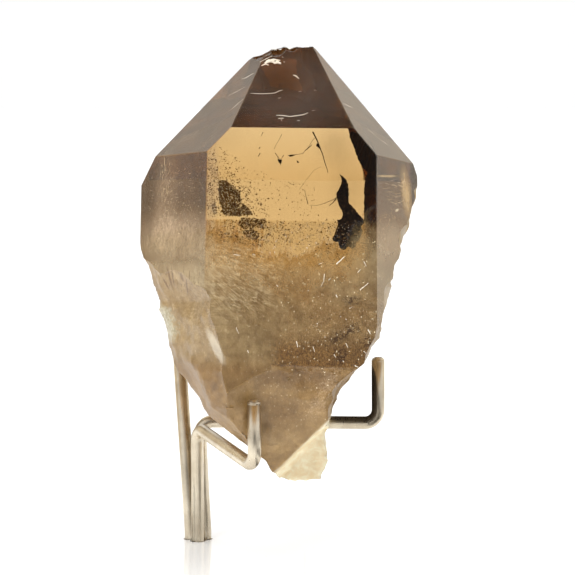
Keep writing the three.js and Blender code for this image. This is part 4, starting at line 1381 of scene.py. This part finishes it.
class QUARTZ_OT_stage(bpy.types.Operator):
    """Sets up the pale floor, the soft studio light and the camera"""

    bl_idname = "quartz.stage"
    bl_label = "Stage"

    def execute(self, context):
        scene = context.scene
        look = scene.quartz_stage
        bm = bmesh.new()
        bmesh.ops.create_circle(bm, cap_ends=True, segments=96, radius=FLOOR_RADIUS)
        pale = Shader("pale floor")
        pale.set(Base_Color=(0.93, 0.93, 0.92), Roughness=0.7, Specular_IOR_Level=0.1)
        mesh_object("floor", bm, pale.material)
        studio_world(look)
        ceiling(look)
        softbox("front_fill", FILL_PLACE, FILL_AIM, FILL_SIZE, look.fill_power)
        for name, (azimuths, heights, radius, colour, mirrored) in FLAGS.items():
            if isinstance(colour, str):
                colour = tuple(getattr(look, colour))
            flag(name, azimuths, heights, radius, colour, mirrored)
        for name, (level, corners, colour, mirrored) in GROUND_PATCHES.items():
            sheet(name, [(x, y, level) for x, y in corners], colour, mirrored, True)
        for name, (corners, colour) in CARDS.items():
            sheet(name, corners, colour, True)

        ahead = Vector((0, math.cos(CAMERA_PITCH), -math.sin(CAMERA_PITCH)))
        camera = bpy.data.cameras.new("camera")
        camera.sensor_width = 36.0
        camera.lens = look.focal_length
        camera.clip_start = 0.01
        eye = bpy.data.objects.new("camera", camera)
        eye.location = CAMERA_TARGET - ahead * CAMERA_DISTANCE
        eye.rotation_euler = ahead.to_track_quat("-Z", "Y").to_euler()
        scene.collection.objects.link(eye)
        scene.camera = eye
        scene.view_settings.view_transform = "Standard"
        return {"FINISHED"}


# ---------------------------------------------------------------- settings, panel and registration


class CrystalLook(bpy.types.PropertyGroup):
    ior: FloatProperty(name="Index of refraction", description="How strongly quartz bends light",
                       default=1.544, min=1.0, max=3.0)
    smoke_colour: FloatVectorProperty(name="Smoke colour", subtype="COLOR", size=3, min=0.0, max=1.0,
                                      description="Tint of the light that gets through",
                                      default=(0.759, 0.528, 0.066))
    smoke_density: FloatProperty(name="Smoke density", description="How fast the smoke takes up light",
                                 default=49.5, min=0.0)
    polish: FloatProperty(name="Natural polish", description="Roughness of the clear natural faces",
                          default=0.01, min=0.0, max=1.0)
    haze_level: FloatProperty(name="Haze level", default=-26.0,
                              description="Where the haze begins on the front face, in millimetres")
    break_grain: FloatProperty(name="Break grain", description="Longest edge on the broken faces",
                               default=0.0009, min=0.0002, unit="LENGTH")


class InsideLook(bpy.types.PropertyGroup):
    veil_thickness: FloatProperty(name="Veil thickness", description="Thickness of a dark fracture",
                                  default=0.0002, min=0.00005, unit="LENGTH")
    veil_step: FloatProperty(name="Veil step", description="Spacing of the points round a fracture",
                             default=0.0004, min=0.0001, unit="LENGTH")
    veil_ragged: FloatProperty(name="Veil raggedness", description="Sideways wander of a fracture's edge",
                               default=0.00012, min=0.0, unit="LENGTH")
    fleck_density: FloatProperty(name="Fleck density", description="Flecks per square metre of a full field",
                                 default=7.0e6, min=0.0)
    smudge_crowding: FloatProperty(name="Smudge crowding", description="How crowded a brown smudge is",
                                   default=13.0, min=0.0)
    hair_count: IntProperty(name="Hairs", description="Fine pale hairs in the fan at the left",
                            default=420, min=0)
    fleck_smallest: FloatProperty(name="Smallest fleck", description="Size of the smallest fleck",
                                  default=0.00008, min=0.0, unit="LENGTH")
    fleck_largest: FloatProperty(name="Largest fleck", description="Size of the largest fleck",
                                 default=0.0004, min=0.0, unit="LENGTH")


class WireLook(bpy.types.PropertyGroup):
    diameter: FloatProperty(name="Wire diameter", description="Thickness of the round wire",
                            default=0.003, min=0.0005, unit="LENGTH")
    bend_radius: FloatProperty(name="Bend radius", description="Radius of each bend's middle line",
                               default=0.0031, min=0.0, unit="LENGTH")
    bend_steps: IntProperty(name="Bend steps", description="Rings round each bend", default=14, min=2)
    sides: IntProperty(name="Wire sides", description="Sides of the wire's section", default=32, min=8)
    end_wear: FloatProperty(name="End wear", description="Length over which a cut end is rounded",
                            default=0.001, min=0.0, unit="LENGTH")
    colour: FloatVectorProperty(name="Metal colour", description="Colour of the bare metal", subtype="COLOR",
                                size=3, min=0.0, max=1.0, default=(0.58, 0.50, 0.38))


class StageLook(bpy.types.PropertyGroup):
    back_light: FloatProperty(name="Light behind", description="Brightness of the surroundings behind",
                              default=1.005, min=0.0)
    front_light: FloatProperty(name="Light in front", description="Brightness of the surroundings in front",
                               default=0.1, min=0.0)
    top_light: FloatProperty(name="Light above", description="Share of that light straight above",
                             default=0.52, min=0.0)
    left_dip: FloatProperty(name="Left dip", description="How much dimmer it is low on the left",
                            default=0.2, min=0.0, max=1.0)
    right_dip: FloatProperty(name="Right dip", description="How much dimmer it is low on the right",
                             default=0.42, min=0.0, max=1.0)
    overhead_strength: FloatProperty(name="Overhead strength", description="Strength of the ceiling light",
                                     default=1.75, min=0.0)
    fill_power: FloatProperty(name="Fill power", description="Power of the front softbox", default=8.0,
                              min=0.0, unit="POWER")
    left_screen: FloatVectorProperty(name="Left screen", description="Colour of the left screen",
                                     subtype="COLOR", size=3, min=0.0, max=1.0, default=(0.17, 0.13, 0.08))
    right_screen: FloatVectorProperty(name="Right screen", description="Colour of the right screen",
                                      subtype="COLOR", size=3, min=0.0, max=1.0, default=(0.13, 0.09, 0.05))
    focal_length: FloatProperty(name="Focal length", description="Lens of the camera, in millimetres",
                                default=169.04, min=1.0)


class QUARTZ_PT_panel(bpy.types.Panel):
    """Lists the stone, the stand and the stage"""

    bl_idname = "QUARTZ_PT_panel"
    bl_label = "Smoky quartz"
    bl_space_type = "VIEW_3D"
    bl_region_type = "UI"
    bl_category = "Quartz"

    def draw(self, context):
        scene = context.scene
        for title, group, operators in PANEL_ROWS:
            box = self.layout.box()
            box.label(text=title)
            settings = getattr(scene, group)
            for key in settings.__annotations__:
                box.prop(settings, key)
            for name in operators:
                box.operator(name)


PANEL_ROWS = (
    ("Crystal", "quartz_crystal", ("quartz.crystal",)),
    ("Inside", "quartz_inside", ("quartz.veils", "quartz.cracks", "quartz.flecks")),
    ("Stand", "quartz_wires", ("quartz.wires", "quartz.base")),
    ("Stage", "quartz_stage", ("quartz.stage",)),
)
GROUPS = {
    "quartz_crystal": CrystalLook, "quartz_inside": InsideLook, "quartz_wires": WireLook,
    "quartz_stage": StageLook,
}
CLASSES = (
    *GROUPS.values(), QUARTZ_OT_crystal, QUARTZ_OT_veils, QUARTZ_OT_cracks, QUARTZ_OT_flecks,
    QUARTZ_OT_wires, QUARTZ_OT_base, QUARTZ_OT_stage, QUARTZ_PT_panel,
)


def register():
    for one in CLASSES:
        bpy.utils.register_class(one)
    for name, group in GROUPS.items():
        setattr(bpy.types.Scene, name, PointerProperty(type=group))


def unregister():
    for name in GROUPS:
        delattr(bpy.types.Scene, name)
    for one in reversed(CLASSES):
        bpy.utils.unregister_class(one)


def main():
    register()
    for make in (bpy.ops.quartz.crystal, bpy.ops.quartz.veils, bpy.ops.quartz.cracks,
                 bpy.ops.quartz.flecks, bpy.ops.quartz.wires, bpy.ops.quartz.base,
                 bpy.ops.quartz.stage):
        make()


if __name__ == "__main__":
    main()
